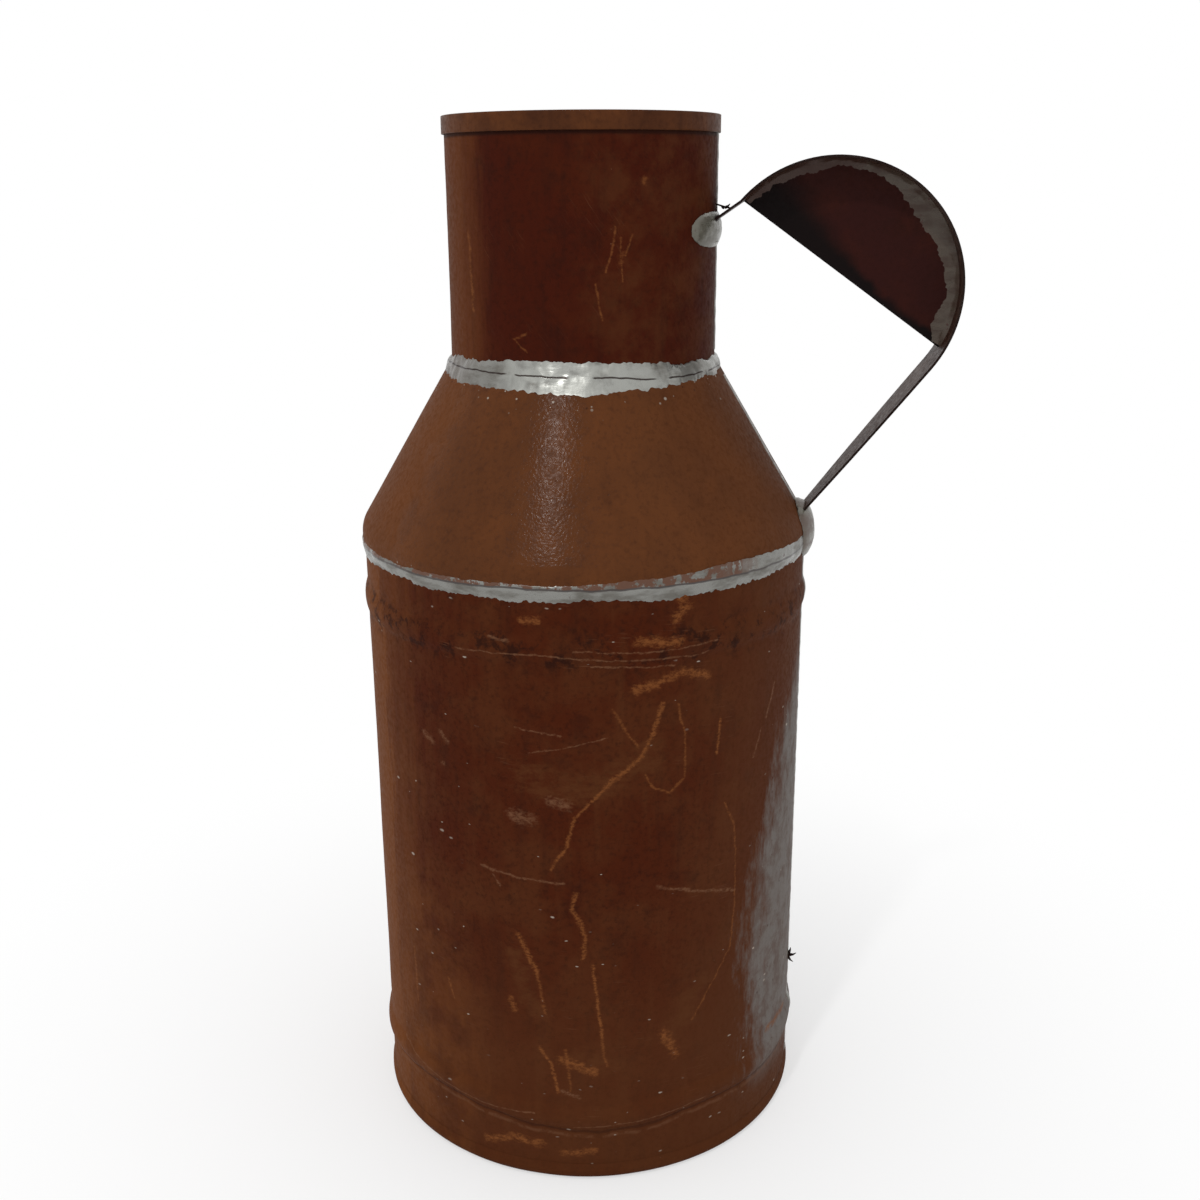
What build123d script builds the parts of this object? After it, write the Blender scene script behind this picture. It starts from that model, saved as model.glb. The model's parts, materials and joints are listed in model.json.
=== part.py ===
"""Soldered sheet-metal milk can with a strap handle on its side.

Millimetres, +Z up. The origin is on the can's axis, in the plane it stands on.
The handle and the upright seams lie on the +X side, in the XZ plane.
"""
from build123d import *
import os
from math import acos, asin, atan2, cos, degrees, radians, sin, tan

# ---- Sheet ----
sheet = 0.8                 # body, shoulder and neck
pan_sheet = 1.0             # bottom pan
lap_gap = 0.1               # room between two lapped sheets
seam_lap = 8.0              # width of the doubled sheet at the upright seams

# ---- Bottom pan ----
pan_height = 8.0            # upturned flange
pan_lean = 0.3              # how far the flange leans out over its height
pan_bend = 2.5              # inside radius between floor and flange

# ---- Body ----
body_radius = 100.0         # outside
lower_bead_height = 34.5    # middle of the bead above the floor
lower_bead_width = 12.0
lower_bead_rise = 1.9
upper_bead_height = 251.5
upper_bead_width = 13.0
upper_bead_rise = 1.4
shoulder_lap = 5.0          # length of body inside the shoulder's skirt

# ---- Shoulder ----
skirt_edge = 277.0          # height of the skirt's lower edge
skirt_height = 7.0          # skirt edge to the corner of skirt and cone
cone_rise = 70.6            # corner to the edge of the cone's opening
roll_radius = 12.0          # outside rounding between cone and skirt
lap_end_room = 3.0          # doubled cone sheet stops this far below the neck's lower edge

# ---- Neck ----
neck_radius = 58.1          # outside
neck_rise = 102.1           # cone opening to mouth
neck_flare = 3.0            # lower edge turned out inside the cone
hoop_height = 7.3
hoop_sheet = 1.0
hoop_rounding = 0.3

# ---- Handle ----
strap_sheet = 1.0
strap_width = 33.0          # at the arch
neck_tab_width = 28.0
foot_tab_width = 17.5
arch_radius = 53.2          # outside of the strap
arch_out = 50.3             # centre of the arch, out from the neck's side
arch_up = 102.9             # centre of the arch, above the corner of skirt and cone
foot_up = 5.0               # top of the foot tab, above that corner
foot_tab_drop = 9.5
neck_tab_down = 41.5        # top of the neck tab, below the mouth
neck_tab_drop = 10.0
taper_fullness = 0.72       # share of a leg's taper still there halfway along it
strap_run_on = 4.0          # extra length that is trimmed off against neck and shoulder
web_sheet = 0.8
web_tilt = 35.6             # straight edge of the web, degrees below level
web_offset = 5.7            # straight edge of the web, from the arch's centre

# ---- Solder ----
neck_solder_up = 5.0        # on the neck, above the cone's edge
neck_solder_down = 5.5      # on the cone, below its edge
neck_solder_bulge = 0.9
shoulder_solder_up = 2.5    # on the skirt
shoulder_solder_down = 5.5  # on the body
shoulder_solder_bulge = 0.5
base_solder_leg = 3.0       # fillet inside, round the floor
seam_solder_width = 6.0
seam_solder_rise = 0.4
pad_radial = 12.5           # ellipsoid that the neck pad of solder is cut from
pad_across = 30.5
pad_upright = 13.2
pad_rise = 2.3              # thickness of the neck pad at its middle
pad_down = 4.6              # middle of the neck pad, below the top of the neck tab
foot_pad_across = 12.5      # half width and half height of the foot's solder
foot_pad_upright = 9.5
foot_pad_rise = 1.6
foot_run_radial = 7.0       # ellipsoid that the foot's run of solder is cut from
foot_run_across = 18.0
foot_run_upright = 13.0
foot_run_rise = 3.8         # how far the run stands out from the skirt
foot_run_up = 3.0           # middle of the run, above the skirt's edge
web_solder_leg = 5.0        # fillet leg on the web
web_solder_height = 3.2     # fillet leg on the strap
web_solder_hollow = 0.38    # middle of the fillet's face, as a share of its legs
web_solder_end = 1.5        # degrees left bare at each end of the web
whisker_diameter = 0.7
whisker_up = 5.6            # its neck end, above the top of the neck tab
whisker_end = 0.55          # its strap end, as a share of the upper leg's length
whisker_low = 0.6           # where it sags most, as a share of the way out
whisker_room = 2.0          # how far above the leg it is aimed there
whisker_side = -6.0         # beside the seam, along Y

# ---- Heights and radii that follow ----
pan_radius = body_radius + lap_gap + pan_sheet
body_foot = pan_sheet + pan_bend
skirt_radius = body_radius + lap_gap + sheet
corner_height = skirt_edge + skirt_height
cone_top = corner_height + cone_rise
mouth_height = cone_top + neck_rise
opening_radius = neck_radius + lap_gap + sheet
lean = atan2(skirt_radius - opening_radius, cone_rise)  # between the cone's wall and the axis


def cone_radius(height, stand_off=0.0):
    """Radius of the cone's outside, or of a surface stand_off away from it, at a height."""
    return skirt_radius - (height - corner_height) * tan(lean) + stand_off / cos(lean)


# ---- Outlines in the radius-height plane ----
def bead(radius, middle, width, rise):
    """Outward bead in an upright wall."""
    low = (radius, middle - width / 2)
    high = (radius, middle + width / 2)
    return ThreePointArc(low, (radius + rise, middle), high)


def pan_outline(stand_off):
    floor = -stand_off
    wall = pan_radius + stand_off
    top = (wall + pan_lean, pan_height)
    return FilletPolyline((0, floor), (wall, floor), top, radius=pan_bend + pan_sheet + stand_off)


def body_outline(stand_off):
    radius = body_radius + stand_off
    low = bead(radius, lower_bead_height, lower_bead_width, lower_bead_rise)
    high = bead(radius, upper_bead_height, upper_bead_width, upper_bead_rise)
    foot = Line((radius, body_foot), low @ 0)
    waist = Line(low @ 1, high @ 0)
    head = Line(high @ 1, (radius, skirt_edge + shoulder_lap))
    return Wire([foot, low, waist, high, head])


def shoulder_outline(stand_off):
    edge = (skirt_radius + stand_off, skirt_edge)
    corner = (skirt_radius + stand_off, corner_height + stand_off * tan(lean / 2))
    opening = (opening_radius + stand_off * cos(lean), cone_top + stand_off * sin(lean))
    return FilletPolyline(edge, corner, opening, radius=roll_radius + stand_off)


def neck_outline(stand_off):
    """Neck with its lower edge turned out against the inside of the cone."""
    radius = neck_radius + stand_off
    inside = stand_off - lap_gap - sheet
    turn = corner_height + (skirt_radius - radius + inside / cos(lean)) / tan(lean)
    flare_end = (radius + neck_flare * sin(lean), turn - neck_flare * cos(lean))
    return Polyline(flare_end, (radius, turn), (radius, mouth_height))


# ---- Ways of making solids ----
def turned(edges):
    """Full turn about the can's axis of a closed outline in the radius-height plane."""
    return revolve(Plane.XZ * make_face(edges), Axis.Z)


def sheet_ring(outline, outer, inner):
    """Turned wall between two stand-offs of one outline."""
    outside = outline(outer)
    inside = outline(inner)
    ends = [Line(outside @ 0, inside @ 0), Line(outside @ 1, inside @ 1)]
    return turned([*outside.edges(), *inside.edges(), *ends])


def block(x_range, y_range, z_range):
    """Box from its limits along X, Y and Z."""
    low, high = zip(x_range, y_range, z_range)
    size = [b - a for a, b in zip(low, high)]
    middle = [(a + b) / 2 for a, b in zip(low, high)]
    return Pos(*middle) * Box(*size)


def seam_block(width, low, high):
    """Room round the upright seams on the +X side, between two heights."""
    return block((0, 2 * skirt_radius), (-width / 2, width / 2), (low, high))


def ellipsoid(radial, across, upright):
    return scale(Sphere(1), by=(radial, across, upright))


# ---- Sheet-metal pieces ----
def base_pan():
    return sheet_ring(pan_outline, 0, -pan_sheet)


def body_shell():
    wall = sheet_ring(body_outline, 0, -sheet)
    ply = sheet_ring(body_outline, -sheet, -2 * sheet)
    lap = ply & seam_block(seam_lap, body_foot + base_solder_leg, skirt_edge)
    return wall + lap


def shoulder_cone():
    wall = sheet_ring(shoulder_outline, 0, -sheet)
    ply = sheet_ring(shoulder_outline, -sheet, -2 * sheet)
    neck_foot = (neck_outline(-sheet) @ 0).Y
    lap = ply & seam_block(seam_lap, corner_height + roll_radius, neck_foot - lap_end_room)
    return wall + lap


def neck_tube():
    return sheet_ring(neck_outline, 0, -sheet)


def rim_hoop():
    inner = neck_radius + lap_gap
    section = Rectangle(hoop_sheet, hoop_height, align=(Align.MIN, Align.MAX))
    section = fillet(section.vertices().group_by(Axis.X)[-1], hoop_rounding)
    return turned((Pos(inner, mouth_height) * section).edges())


# ---- Handle ----
arch_centre = (neck_radius + arch_out, corner_height + arch_up)
foot_height = corner_height + foot_up
neck_tab_top = mouth_height - neck_tab_down
web_radius = arch_radius - strap_sheet - lap_gap
web_half_angle = degrees(acos(web_offset / web_radius))
web_middle = 90 - web_tilt  # direction from the arch's centre to the middle of the web


def on_arch(radius, angle):
    """Point round the arch's centre, in the XZ plane."""
    along = radians(angle)
    return Vector(arch_centre[0] + radius * cos(along), arch_centre[1] + radius * sin(along))


def strap_path():
    """Outside of the strap from the shoulder, round the arch, to the neck."""
    foot = Vector(cone_radius(foot_height, lap_gap + strap_sheet), foot_height)
    to_centre = Vector(*arch_centre) - foot
    leg_angle = atan2(to_centre.Y, to_centre.X) - asin(arch_radius / to_centre.length)
    tangent = on_arch(arch_radius, degrees(leg_angle) - 90)
    turn = on_arch(arch_radius, web_middle + web_half_angle)
    neck = Vector(neck_radius + lap_gap, neck_tab_top)
    return foot, tangent, turn, neck


def taper(start, end, narrow):
    """Cutters that narrow a leg of the strap from its arch end to its tab end."""
    along = Vector(end.X - start.X, 0, end.Y - start.Y)
    plane = Plane(origin=(start.X, 0, start.Y), x_dir=along, z_dir=along.cross(Vector(0, 1, 0)))
    wide_side = strap_width / 2
    narrow_side = narrow / 2
    middle_side = narrow_side + (wide_side - narrow_side) * taper_fullness
    wide_end = (0, wide_side)
    narrow_end = (along.length, narrow_side)
    edge = ThreePointArc(wide_end, (along.length / 2, middle_side), narrow_end)
    past_end = along.length + strap_run_on
    far = [(past_end, narrow_side), (past_end, strap_width), (0, strap_width)]
    outside = Polyline(narrow_end, *far, wide_end)
    cutter = extrude(plane * make_face([edge, *outside.edges()]), strap_width, both=True)
    return cutter + mirror(cutter, Plane.XZ)


def neck_envelope(stand_off):
    return Cylinder(neck_radius + stand_off, mouth_height, align=(Align.CENTER, Align.CENTER, Align.MIN))


def shoulder_envelope(stand_off):
    """Everything within stand_off of the shoulder's outside, filled to the axis."""
    outline = shoulder_outline(stand_off)
    closing = Polyline(outline @ 1, (0, (outline @ 1).Y), (0, skirt_edge), outline @ 0)
    return turned([*outline.edges(), *closing.edges()])


def body_envelope():
    return Cylinder(body_radius, skirt_edge, align=(Align.CENTER, Align.CENTER, Align.MIN))


def neck_band(inner, outer):
    return neck_envelope(outer) - neck_envelope(inner)


def shoulder_band(inner, outer):
    return shoulder_envelope(outer) - shoulder_envelope(inner)


def handle_strap():
    foot, tangent, turn, neck = strap_path()
    foot_end = foot + (foot - tangent).normalized() * strap_run_on
    neck_end = neck + (neck - turn).normalized() * strap_run_on
    crown = on_arch(arch_radius, web_middle)
    arch = ThreePointArc(tangent, crown, turn)
    path = Wire([Line(foot_end, tangent), arch, Line(turn, neck_end)])
    section = make_face(path.offset_2d(strap_sheet, kind=Kind.INTERSECTION, side=Side.LEFT).edges())
    strap = extrude(Plane.XZ * section, strap_width / 2, both=True)
    strap -= taper(tangent, foot, foot_tab_width)
    strap -= taper(turn, neck, neck_tab_width)
    strap -= shoulder_envelope(lap_gap) + neck_envelope(lap_gap)
    foot_tab = shoulder_band(lap_gap, lap_gap + strap_sheet)
    foot_tab &= seam_block(foot_tab_width, foot_height - foot_tab_drop, foot_height)
    neck_tab = neck_band(lap_gap, lap_gap + strap_sheet)
    neck_tab &= seam_block(neck_tab_width, neck_tab_top - neck_tab_drop, neck_tab_top)
    return strap + foot_tab + neck_tab


def handle_web():
    start = on_arch(web_radius, web_middle - web_half_angle)
    end = on_arch(web_radius, web_middle + web_half_angle)
    rim = ThreePointArc(start, on_arch(web_radius, web_middle), end)
    return extrude(Plane.XZ * make_face([rim, Line(end, start)]), web_sheet / 2, both=True)


# ---- Solder ----
def neck_solder():
    top = (neck_radius, cone_top + neck_solder_up)
    low = cone_top - neck_solder_down
    bottom = (cone_radius(low), low)
    crest = (opening_radius + neck_solder_bulge, cone_top + neck_solder_bulge)
    closing = Polyline(bottom, (opening_radius, cone_top), (neck_radius, cone_top), top)
    return turned([ThreePointArc(top, crest, bottom), *closing.edges()])


def shoulder_solder():
    top = (skirt_radius, skirt_edge + shoulder_solder_up)
    bottom = (body_radius, skirt_edge - shoulder_solder_down)
    crest = (skirt_radius + shoulder_solder_bulge, skirt_edge)
    closing = Polyline(bottom, (body_radius, skirt_edge), (skirt_radius, skirt_edge), top)
    ring = turned([ThreePointArc(top, crest, bottom), *closing.edges()])
    return ring - shoulder_envelope(0)


def base_solder():
    """Fillet on the floor and the wall that also fills the bend under the body's foot."""
    wall = body_radius - sheet
    floor_toe = (wall - base_solder_leg, pan_sheet)
    wall_toe = (wall, body_foot + base_solder_leg)
    under_foot = [(wall, body_foot), (body_radius, body_foot), (body_radius, pan_sheet)]
    return turned(Polyline(floor_toe, wall_toe, *under_foot, floor_toe).edges())


def neck_seam_solder():
    strip = neck_band(0, seam_solder_rise)
    return strip & seam_block(seam_solder_width, cone_top + neck_solder_up, mouth_height - hoop_height)


def cone_seam_solder():
    low = foot_height - foot_pad_upright
    strip = shoulder_band(0, seam_solder_rise)
    return strip & seam_block(seam_solder_width, low, cone_top - neck_solder_down)


def body_seam_solder():
    strip = sheet_ring(body_outline, seam_solder_rise, 0)
    return strip & seam_block(seam_solder_width, pan_height, skirt_edge - shoulder_solder_down)


def neck_pad():
    """Lens of solder on the neck."""
    middle = neck_radius + pad_rise - pad_radial
    lens = Pos(middle, 0, neck_tab_top - pad_down) * ellipsoid(pad_radial, pad_across, pad_upright)
    return lens - neck_envelope(0)


def foot_pad():
    """Oval of solder over the foot tab, with the run below it over the skirt's edge."""
    middle = foot_height - foot_tab_drop / 2
    oval = extrude(Plane.YZ * Pos(0, middle) * Ellipse(foot_pad_across, foot_pad_upright), 2 * skirt_radius)
    out = skirt_radius + foot_run_rise - foot_run_radial
    lens = ellipsoid(foot_run_radial, foot_run_across, foot_run_upright)
    run = Pos(out, 0, skirt_edge + foot_run_up) * lens - shoulder_envelope(0) - body_envelope()
    return (shoulder_band(0, foot_pad_rise) & oval) + run


def web_solder(side):
    """Fillet between web and strap on one side of the web."""
    start = radians(web_middle - web_half_angle + web_solder_end)
    turn = 2 * (web_half_angle - web_solder_end)
    origin = (arch_centre[0], 0, arch_centre[1])
    plane = Plane(origin, x_dir=(cos(start), 0, sin(start)), z_dir=(-sin(start), 0, cos(start)))
    strap_inside = arch_radius - strap_sheet
    web_face = side * web_sheet / 2
    toe = (strap_inside - web_solder_leg, web_face)
    heel = (strap_inside, web_face)
    top = (strap_inside, web_face + side * web_solder_height)
    hollow_out = strap_inside - web_solder_leg * web_solder_hollow
    hollow_up = web_face + side * web_solder_height * web_solder_hollow
    face = ThreePointArc(top, (hollow_out, hollow_up), toe)
    section = make_face([face, *Polyline(toe, heel, top).edges()])
    return revolve(plane * section, Axis(origin, (0, -1, 0)), turn)


def solder_whisker():
    """Stray wire of solder from the neck to the upper leg of the strap."""
    _, _, turn, neck = strap_path()
    leg = turn - neck
    start = Vector(neck_radius, neck_tab_top + whisker_up)
    sag = neck + leg * whisker_end * whisker_low + Vector(0, whisker_room)
    end = neck + leg * whisker_end
    path = Bezier(*[(point.X, whisker_side, point.Y) for point in (start, sag, end)])
    plane = Plane(origin=path @ 0, z_dir=path % 0)
    wire = sweep(plane * Circle(whisker_diameter / 2), path)
    return wire - neck_envelope(0)


# ---- Assembly ----
pan = base_pan()
strap = handle_strap()
web = handle_web()
neck_bead = neck_solder()
neck_lens = neck_pad() - strap
foot_lens = foot_pad() - strap

pieces = {
    "base_pan": pan,
    "body_shell": body_shell(),
    "shoulder_cone": shoulder_cone(),
    "neck_tube": neck_tube(),
    "rim_hoop": rim_hoop(),
    "handle_strap": strap,
    "handle_web": web,
    "base_solder": base_solder() - pan,
    "shoulder_solder": shoulder_solder() - foot_lens - strap,
    "neck_solder": neck_bead,
    "body_seam_solder": body_seam_solder() - foot_lens,
    "cone_seam_solder": cone_seam_solder() - neck_bead - foot_lens - strap,
    "neck_seam_solder": neck_seam_solder() - neck_lens - strap,
    "handle_neck_solder": neck_lens,
    "handle_foot_solder": foot_lens,
    "web_solder_front": web_solder(-1) - web - strap,
    "web_solder_back": web_solder(1) - web - strap,
    "solder_whisker": solder_whisker() - strap,
}

os.makedirs("parts", exist_ok=True)
for name, piece in pieces.items():
    export_step(piece, f"parts/{name}.step")
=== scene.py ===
"""Dresses a soldered sheet-metal milk can with rust, worn steel and ragged solder, on a pale studio floor."""
import json
from math import acos, atan2, cos, pi, radians, sin, tan

import bmesh
import bpy
from mathutils import Matrix, Vector, noise


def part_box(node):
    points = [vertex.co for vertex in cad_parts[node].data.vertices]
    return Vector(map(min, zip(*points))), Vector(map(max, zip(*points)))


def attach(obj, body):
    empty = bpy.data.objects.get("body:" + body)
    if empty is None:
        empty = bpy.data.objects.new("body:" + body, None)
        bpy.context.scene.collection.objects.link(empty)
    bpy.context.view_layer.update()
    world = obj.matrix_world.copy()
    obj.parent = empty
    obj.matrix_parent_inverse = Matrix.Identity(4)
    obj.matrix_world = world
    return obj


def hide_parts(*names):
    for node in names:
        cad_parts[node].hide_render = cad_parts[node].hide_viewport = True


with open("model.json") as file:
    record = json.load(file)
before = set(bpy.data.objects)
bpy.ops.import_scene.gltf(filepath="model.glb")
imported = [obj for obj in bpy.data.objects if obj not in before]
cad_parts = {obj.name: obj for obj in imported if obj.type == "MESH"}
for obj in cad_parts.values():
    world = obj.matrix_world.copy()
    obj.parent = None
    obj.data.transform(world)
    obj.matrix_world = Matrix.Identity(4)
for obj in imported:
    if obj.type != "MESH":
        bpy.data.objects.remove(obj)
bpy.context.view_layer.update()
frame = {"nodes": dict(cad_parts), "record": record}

bl_info = {
    "name": "Rusted Milk Can",
    "version": (1, 0, 0),
    "blender": (4, 5, 0),
    "location": "View3D > Sidebar > Milk Can",
    "description": "Finishes a soldered sheet-metal milk can with rust, worn steel and ragged solder",
    "category": "Object",
}

MM = 0.001
FULL_TURN = 2 * pi
SHARP_EDGE = radians(40)        # faces that meet more steeply than this keep an edge
WELD = 0.01 * MM                # points closer than this are one
FLOOR_RADIUS = 40.0
LAMP_AIM = Vector((0, 0, 0.3))
LAMP_WAY = (radians(-105), radians(49))         # turn and tilt of the way from the aim to the lamp
LAMP_DISTANCE = 2.0
CAMERA_PLACE = Vector((0.0965, -0.6094, 0.4317))
CAMERA_WAY = (radians(98.37), radians(-17.07))  # turn and tilt of the line of sight
CAMERA_ROLL = radians(-0.36)
LENS = 41.27                    # length of the lens and width of the sensor, in millimetres
SENSOR = 36.0

# The dents and the lower bead's wander fade out beside the handle's seam: they are gone where this
# share of a wall's outward direction points at the handle, and whole where it is smaller by the fade.
SEAM_NEAR = 0.82
SEAM_FADE = 0.32
BEAD_WAVES = 4
BEAD_PHASE = radians(140)

# ---- Sizes that the frame gives ----
MOUTH = next(mount for mount in frame["record"]["mounts"] if mount["name"] == "mouth")
NECK_INSIDE = MOUTH["dims"]["r_mm"] * MM
RIM_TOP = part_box("neck_tube")[1].z
HOOP_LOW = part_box("rim_hoop")[0].z
HOOP_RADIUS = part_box("rim_hoop")[1].x
SKIRT_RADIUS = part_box("shoulder_cone")[1].x
SKIRT_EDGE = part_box("shoulder_cone")[0].z
CONE_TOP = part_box("shoulder_cone")[1].z
BODY_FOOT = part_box("body_shell")[0].z
BODY_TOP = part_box("body_shell")[1].z
PAN_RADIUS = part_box("base_pan")[1].x
PAN_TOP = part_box("base_pan")[1].z
ARCH_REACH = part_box("handle_strap")[1].x
ARCH_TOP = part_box("handle_strap")[1].z
WEB_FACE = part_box("handle_web")[1].y
NECK_PAD = [corner.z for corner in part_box("handle_neck_solder")]
FOOT_PAD = [corner.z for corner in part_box("handle_foot_solder")]


def number(name, default, words, **settings):
    """Number, with any unit, kind or limit of its own."""
    return bpy.props.FloatProperty(name=name, description=words, default=default, **settings)


def length(name, default, words):
    """Size given in millimetres and kept in metres."""
    return number(name, default * MM, words, unit="LENGTH", precision=5)


def colour(name, default, words):
    """Colour as linear red, green and blue."""
    return bpy.props.FloatVectorProperty(
        name=name, description=words, default=default, subtype="COLOR", size=3, min=0, max=1)


class CanSizes(bpy.types.PropertyGroup):
    """Sizes of the sheet-metal pieces and their solder."""

    sheet: length("Sheet", 0.8, "Thickness of the body, shoulder and neck")
    lap_gap: length("Lap Gap", 0.1, "Room between two lapped sheets")
    pan_sheet: length("Pan Sheet", 1.0, "Thickness of the bottom pan")
    pan_lean: length("Pan Lean", 0.3, "How far the pan's flange leans out")
    pan_roll: length("Pan Roll", 3.5, "Outside rounding between the pan's floor and flange")
    skirt_height: length("Skirt Height", 7.0, "From the skirt's edge to its corner with the cone")
    roll_radius: length("Shoulder Roll", 12.0, "Outside rounding between cone and skirt")
    lower_bead: length("Lower Bead", 34.5, "Height of the lower bead")
    lower_bead_width: length("Lower Bead Width", 12.0, "Width of the lower bead")
    lower_bead_rise: length("Lower Bead Rise", 1.9, "How far the lower bead stands out")
    bead_wander: length("Bead Wander", 3.5, "How far the lower bead rises and falls round the body")
    upper_bead: length("Upper Bead", 251.5, "Height of the upper bead")
    upper_bead_width: length("Upper Bead Width", 13.0, "Width of the upper bead")
    upper_bead_rise: length("Upper Bead Rise", 1.4, "How far the upper bead stands out")
    hoop_rounding: length("Hoop Rounding", 0.3, "Rounding of the rim hoop's edges")
    arch_radius: length("Arch Radius", 53.2, "Outside radius of the handle's arch")
    strap_sheet: length("Strap Sheet", 1.0, "Thickness of the strap")
    web_offset: length("Web Offset", 5.7, "Straight edge of the web, from the arch's centre")
    dent_depth: length("Dent Depth", 0.9, "Depth of the broad dents in the sheet")
    dent_size: length("Dent Size", 60.0, "Breadth of the broad dents in the sheet")
    ripple_depth: length("Ripple Depth", 0.2, "Depth of the small ripples in the sheet")
    ripple_size: length("Ripple Size", 14.0, "Breadth of the small ripples in the sheet")
    rag: length("Solder Rag", 1.3, "How far the solder's edges wander")
    seam_width: length("Seam Width", 5.0, "Width of the solder on the upright seams")
    burr: length("Burr", 62.0, "Height of the splash of solder on the body's seam")
    web_tilt: number("Web Tilt", radians(35.6), "Straight edge of the web below level", subtype="ANGLE")
    segments: bpy.props.IntProperty(
        name="Segments", description="Steps round a turned piece", default=360, min=24)


class CanColours(bpy.types.PropertyGroup):
    """Colours of the rust, the bare steel and the solder."""

    neck: colour("Neck Rust", (0.044, 0.0068, 0.0025), "Dark maroon rust of the neck")
    cone: colour("Shoulder Rust", (0.086, 0.0285, 0.0095), "Lighter brown rust of the shoulder")
    body: colour("Body Rust", (0.055, 0.0105, 0.0030), "Dark red-brown rust of the body")
    hoop: colour("Hoop Rust", (0.062, 0.0200, 0.0075), "Rust of the rim hoop")
    brown: colour("Brown Rust", (0.082, 0.0270, 0.0090), "Paler rust in clouds")
    # Orange rust, also laid on the left side of the body, neck and shoulder as a painted sheen.
    orange_rust_and_sheen: colour("Orange Rust and Side Sheen", (0.145, 0.0460, 0.0120), "Fresher rust on the side away from the handle")
    black: colour("Pits", (0.016, 0.0050, 0.0032), "Deep pits and shadowed edges")
    ochre: colour("Ochre", (0.178, 0.0600, 0.0175), "Fresh scratches and stains")
    # Tan also paints the lit line just below the lower bead's crease, a painted highlight.
    tan: colour("Tan", (0.150, 0.0680, 0.0350), "Old scratches and rubbed patches")
    chalk: colour("Chalk", (0.480, 0.420, 0.350), "Pale specks")
    # The steel's pale grey also stands for its sheen, painted into the colour.
    steel: colour("Steel", (0.155, 0.1420, 0.1320), "Worn steel beside the handle's seam")
    strap: colour("Strap Rust", (0.038, 0.0150, 0.0095), "Rust of the strap")
    worn_strap: colour("Worn Strap", (0.088, 0.0560, 0.0440), "Rubbed patches of the strap")
    web: colour("Web Rust", (0.027, 0.0062, 0.0050), "Rust of the web")
    # Near black: rust of the burr and the strap's cut edges, and painted shade along the web's straight edge.
    near_black_and_web_shade: colour("Near Black and Web Shade", (0.0045, 0.0030, 0.0030), "Black along the web's straight edge")
    solder: colour("Solder", (0.230, 0.2280, 0.2120), "Clean solder")
    # Painted highlight: solder laid lighter at the front of the neck's foot, where the lamp's highlight
    # falls.
    bright: colour("Bright Solder", (0.370, 0.3750, 0.3480), "Rubbed solder at the front of the neck's foot")
    dull: colour("Dull Solder", (0.115, 0.1060, 0.0900), "Tarnished solder")
    pad: colour("Pad Solder", (0.122, 0.1140, 0.0900), "Pale solder of the handle's pads")
    fillet: colour("Fillet Solder", (0.074, 0.0560, 0.0420), "Stained solder between strap and web")


class StudioSettings(bpy.types.PropertyGroup):
    """Light and floor."""

    key: number("Key", 9.0, "Power of the high soft lamp", unit="POWER")
    lamp: length("Lamp", 100.0, "Width of the high soft lamp")
    sky: number("Sky", 0.85, "Strength of the even light", min=0)
    glow: number("Glow", 0.5, "Share of white in the near floor", min=0)
    floor: colour("Floor", (0.96, 0.96, 0.96), "Colour of the floor near the can")
    clearing: length("Clearing", 420.0, "Radius of the floor that keeps the can's shadow")


def sizes():
    """Sizes that are set in the scene."""
    return bpy.context.scene.can_sizes


def colours():
    """Colours that are set in the scene."""
    return bpy.context.scene.can_colours


# ---- Building node trees ----
def feed(tree, node, inputs):
    """Links a node's inputs to sockets, or sets them to values."""
    for key, value in inputs.items():
        if isinstance(value, bpy.types.NodeSocket):
            tree.links.new(value, node.inputs[key])
        elif node.inputs[key].type == "RGBA" and len(value) == 3:
            node.inputs[key].default_value = (*value, 1)
        else:
            node.inputs[key].default_value = value


def add(tree, kind, inputs=None, **settings):
    """Node of a kind, with its settings as attributes and its inputs linked to sockets or set to values."""
    node = tree.nodes.new(kind)
    for name, value in settings.items():
        setattr(node, name, value)
    feed(tree, node, inputs or {})
    return node


def maths(tree, operation, *values):
    """Number that a Math node gives."""
    return add(tree, "ShaderNodeMath", dict(enumerate(values)), operation=operation).outputs[0]


def vectors(tree, operation, *values):
    """Vector that a Vector Math node gives."""
    return add(tree, "ShaderNodeVectorMath", dict(enumerate(values)), operation=operation).outputs["Vector"]


def plus(tree, first, second):
    """Sum of two numbers."""
    return maths(tree, "ADD", first, second)


def minus(tree, first, second):
    """First number less the second."""
    return maths(tree, "SUBTRACT", first, second)


def times(tree, first, second):
    """Product of two numbers, such as a mask and its strength."""
    return maths(tree, "MULTIPLY", first, second)


def axes(tree, place):
    """X, Y and Z of a place."""
    return add(tree, "ShaderNodeSeparateXYZ", {0: place}).outputs


def scaled(tree, vector, factor):
    """Vector times a number."""
    inputs = {0: vector, "Scale": factor}
    return add(tree, "ShaderNodeVectorMath", inputs, operation="SCALE").outputs["Vector"]


def dot(tree, first, second):
    """Dot product of two vectors."""
    return add(tree, "ShaderNodeVectorMath", {0: first, 1: second}, operation="DOT_PRODUCT").outputs["Value"]


def ramp(tree, value, start, end, low=0.0, high=1.0):
    """Smooth step from low to high as a value goes from start to end."""
    inputs = {"Value": value, "From Min": start, "From Max": end, "To Min": low, "To Max": high}
    step = add(tree, "ShaderNodeMapRange", inputs, interpolation_type="SMOOTHSTEP", clamp=False)
    return step.outputs["Result"]


def blend(tree, mask, under, top):
    """Colour that goes from under to top as the mask goes from 0 to 1."""
    return add(tree, "ShaderNodeMix", {0: mask, 6: under, 7: top}, data_type="RGBA").outputs[2]


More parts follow.
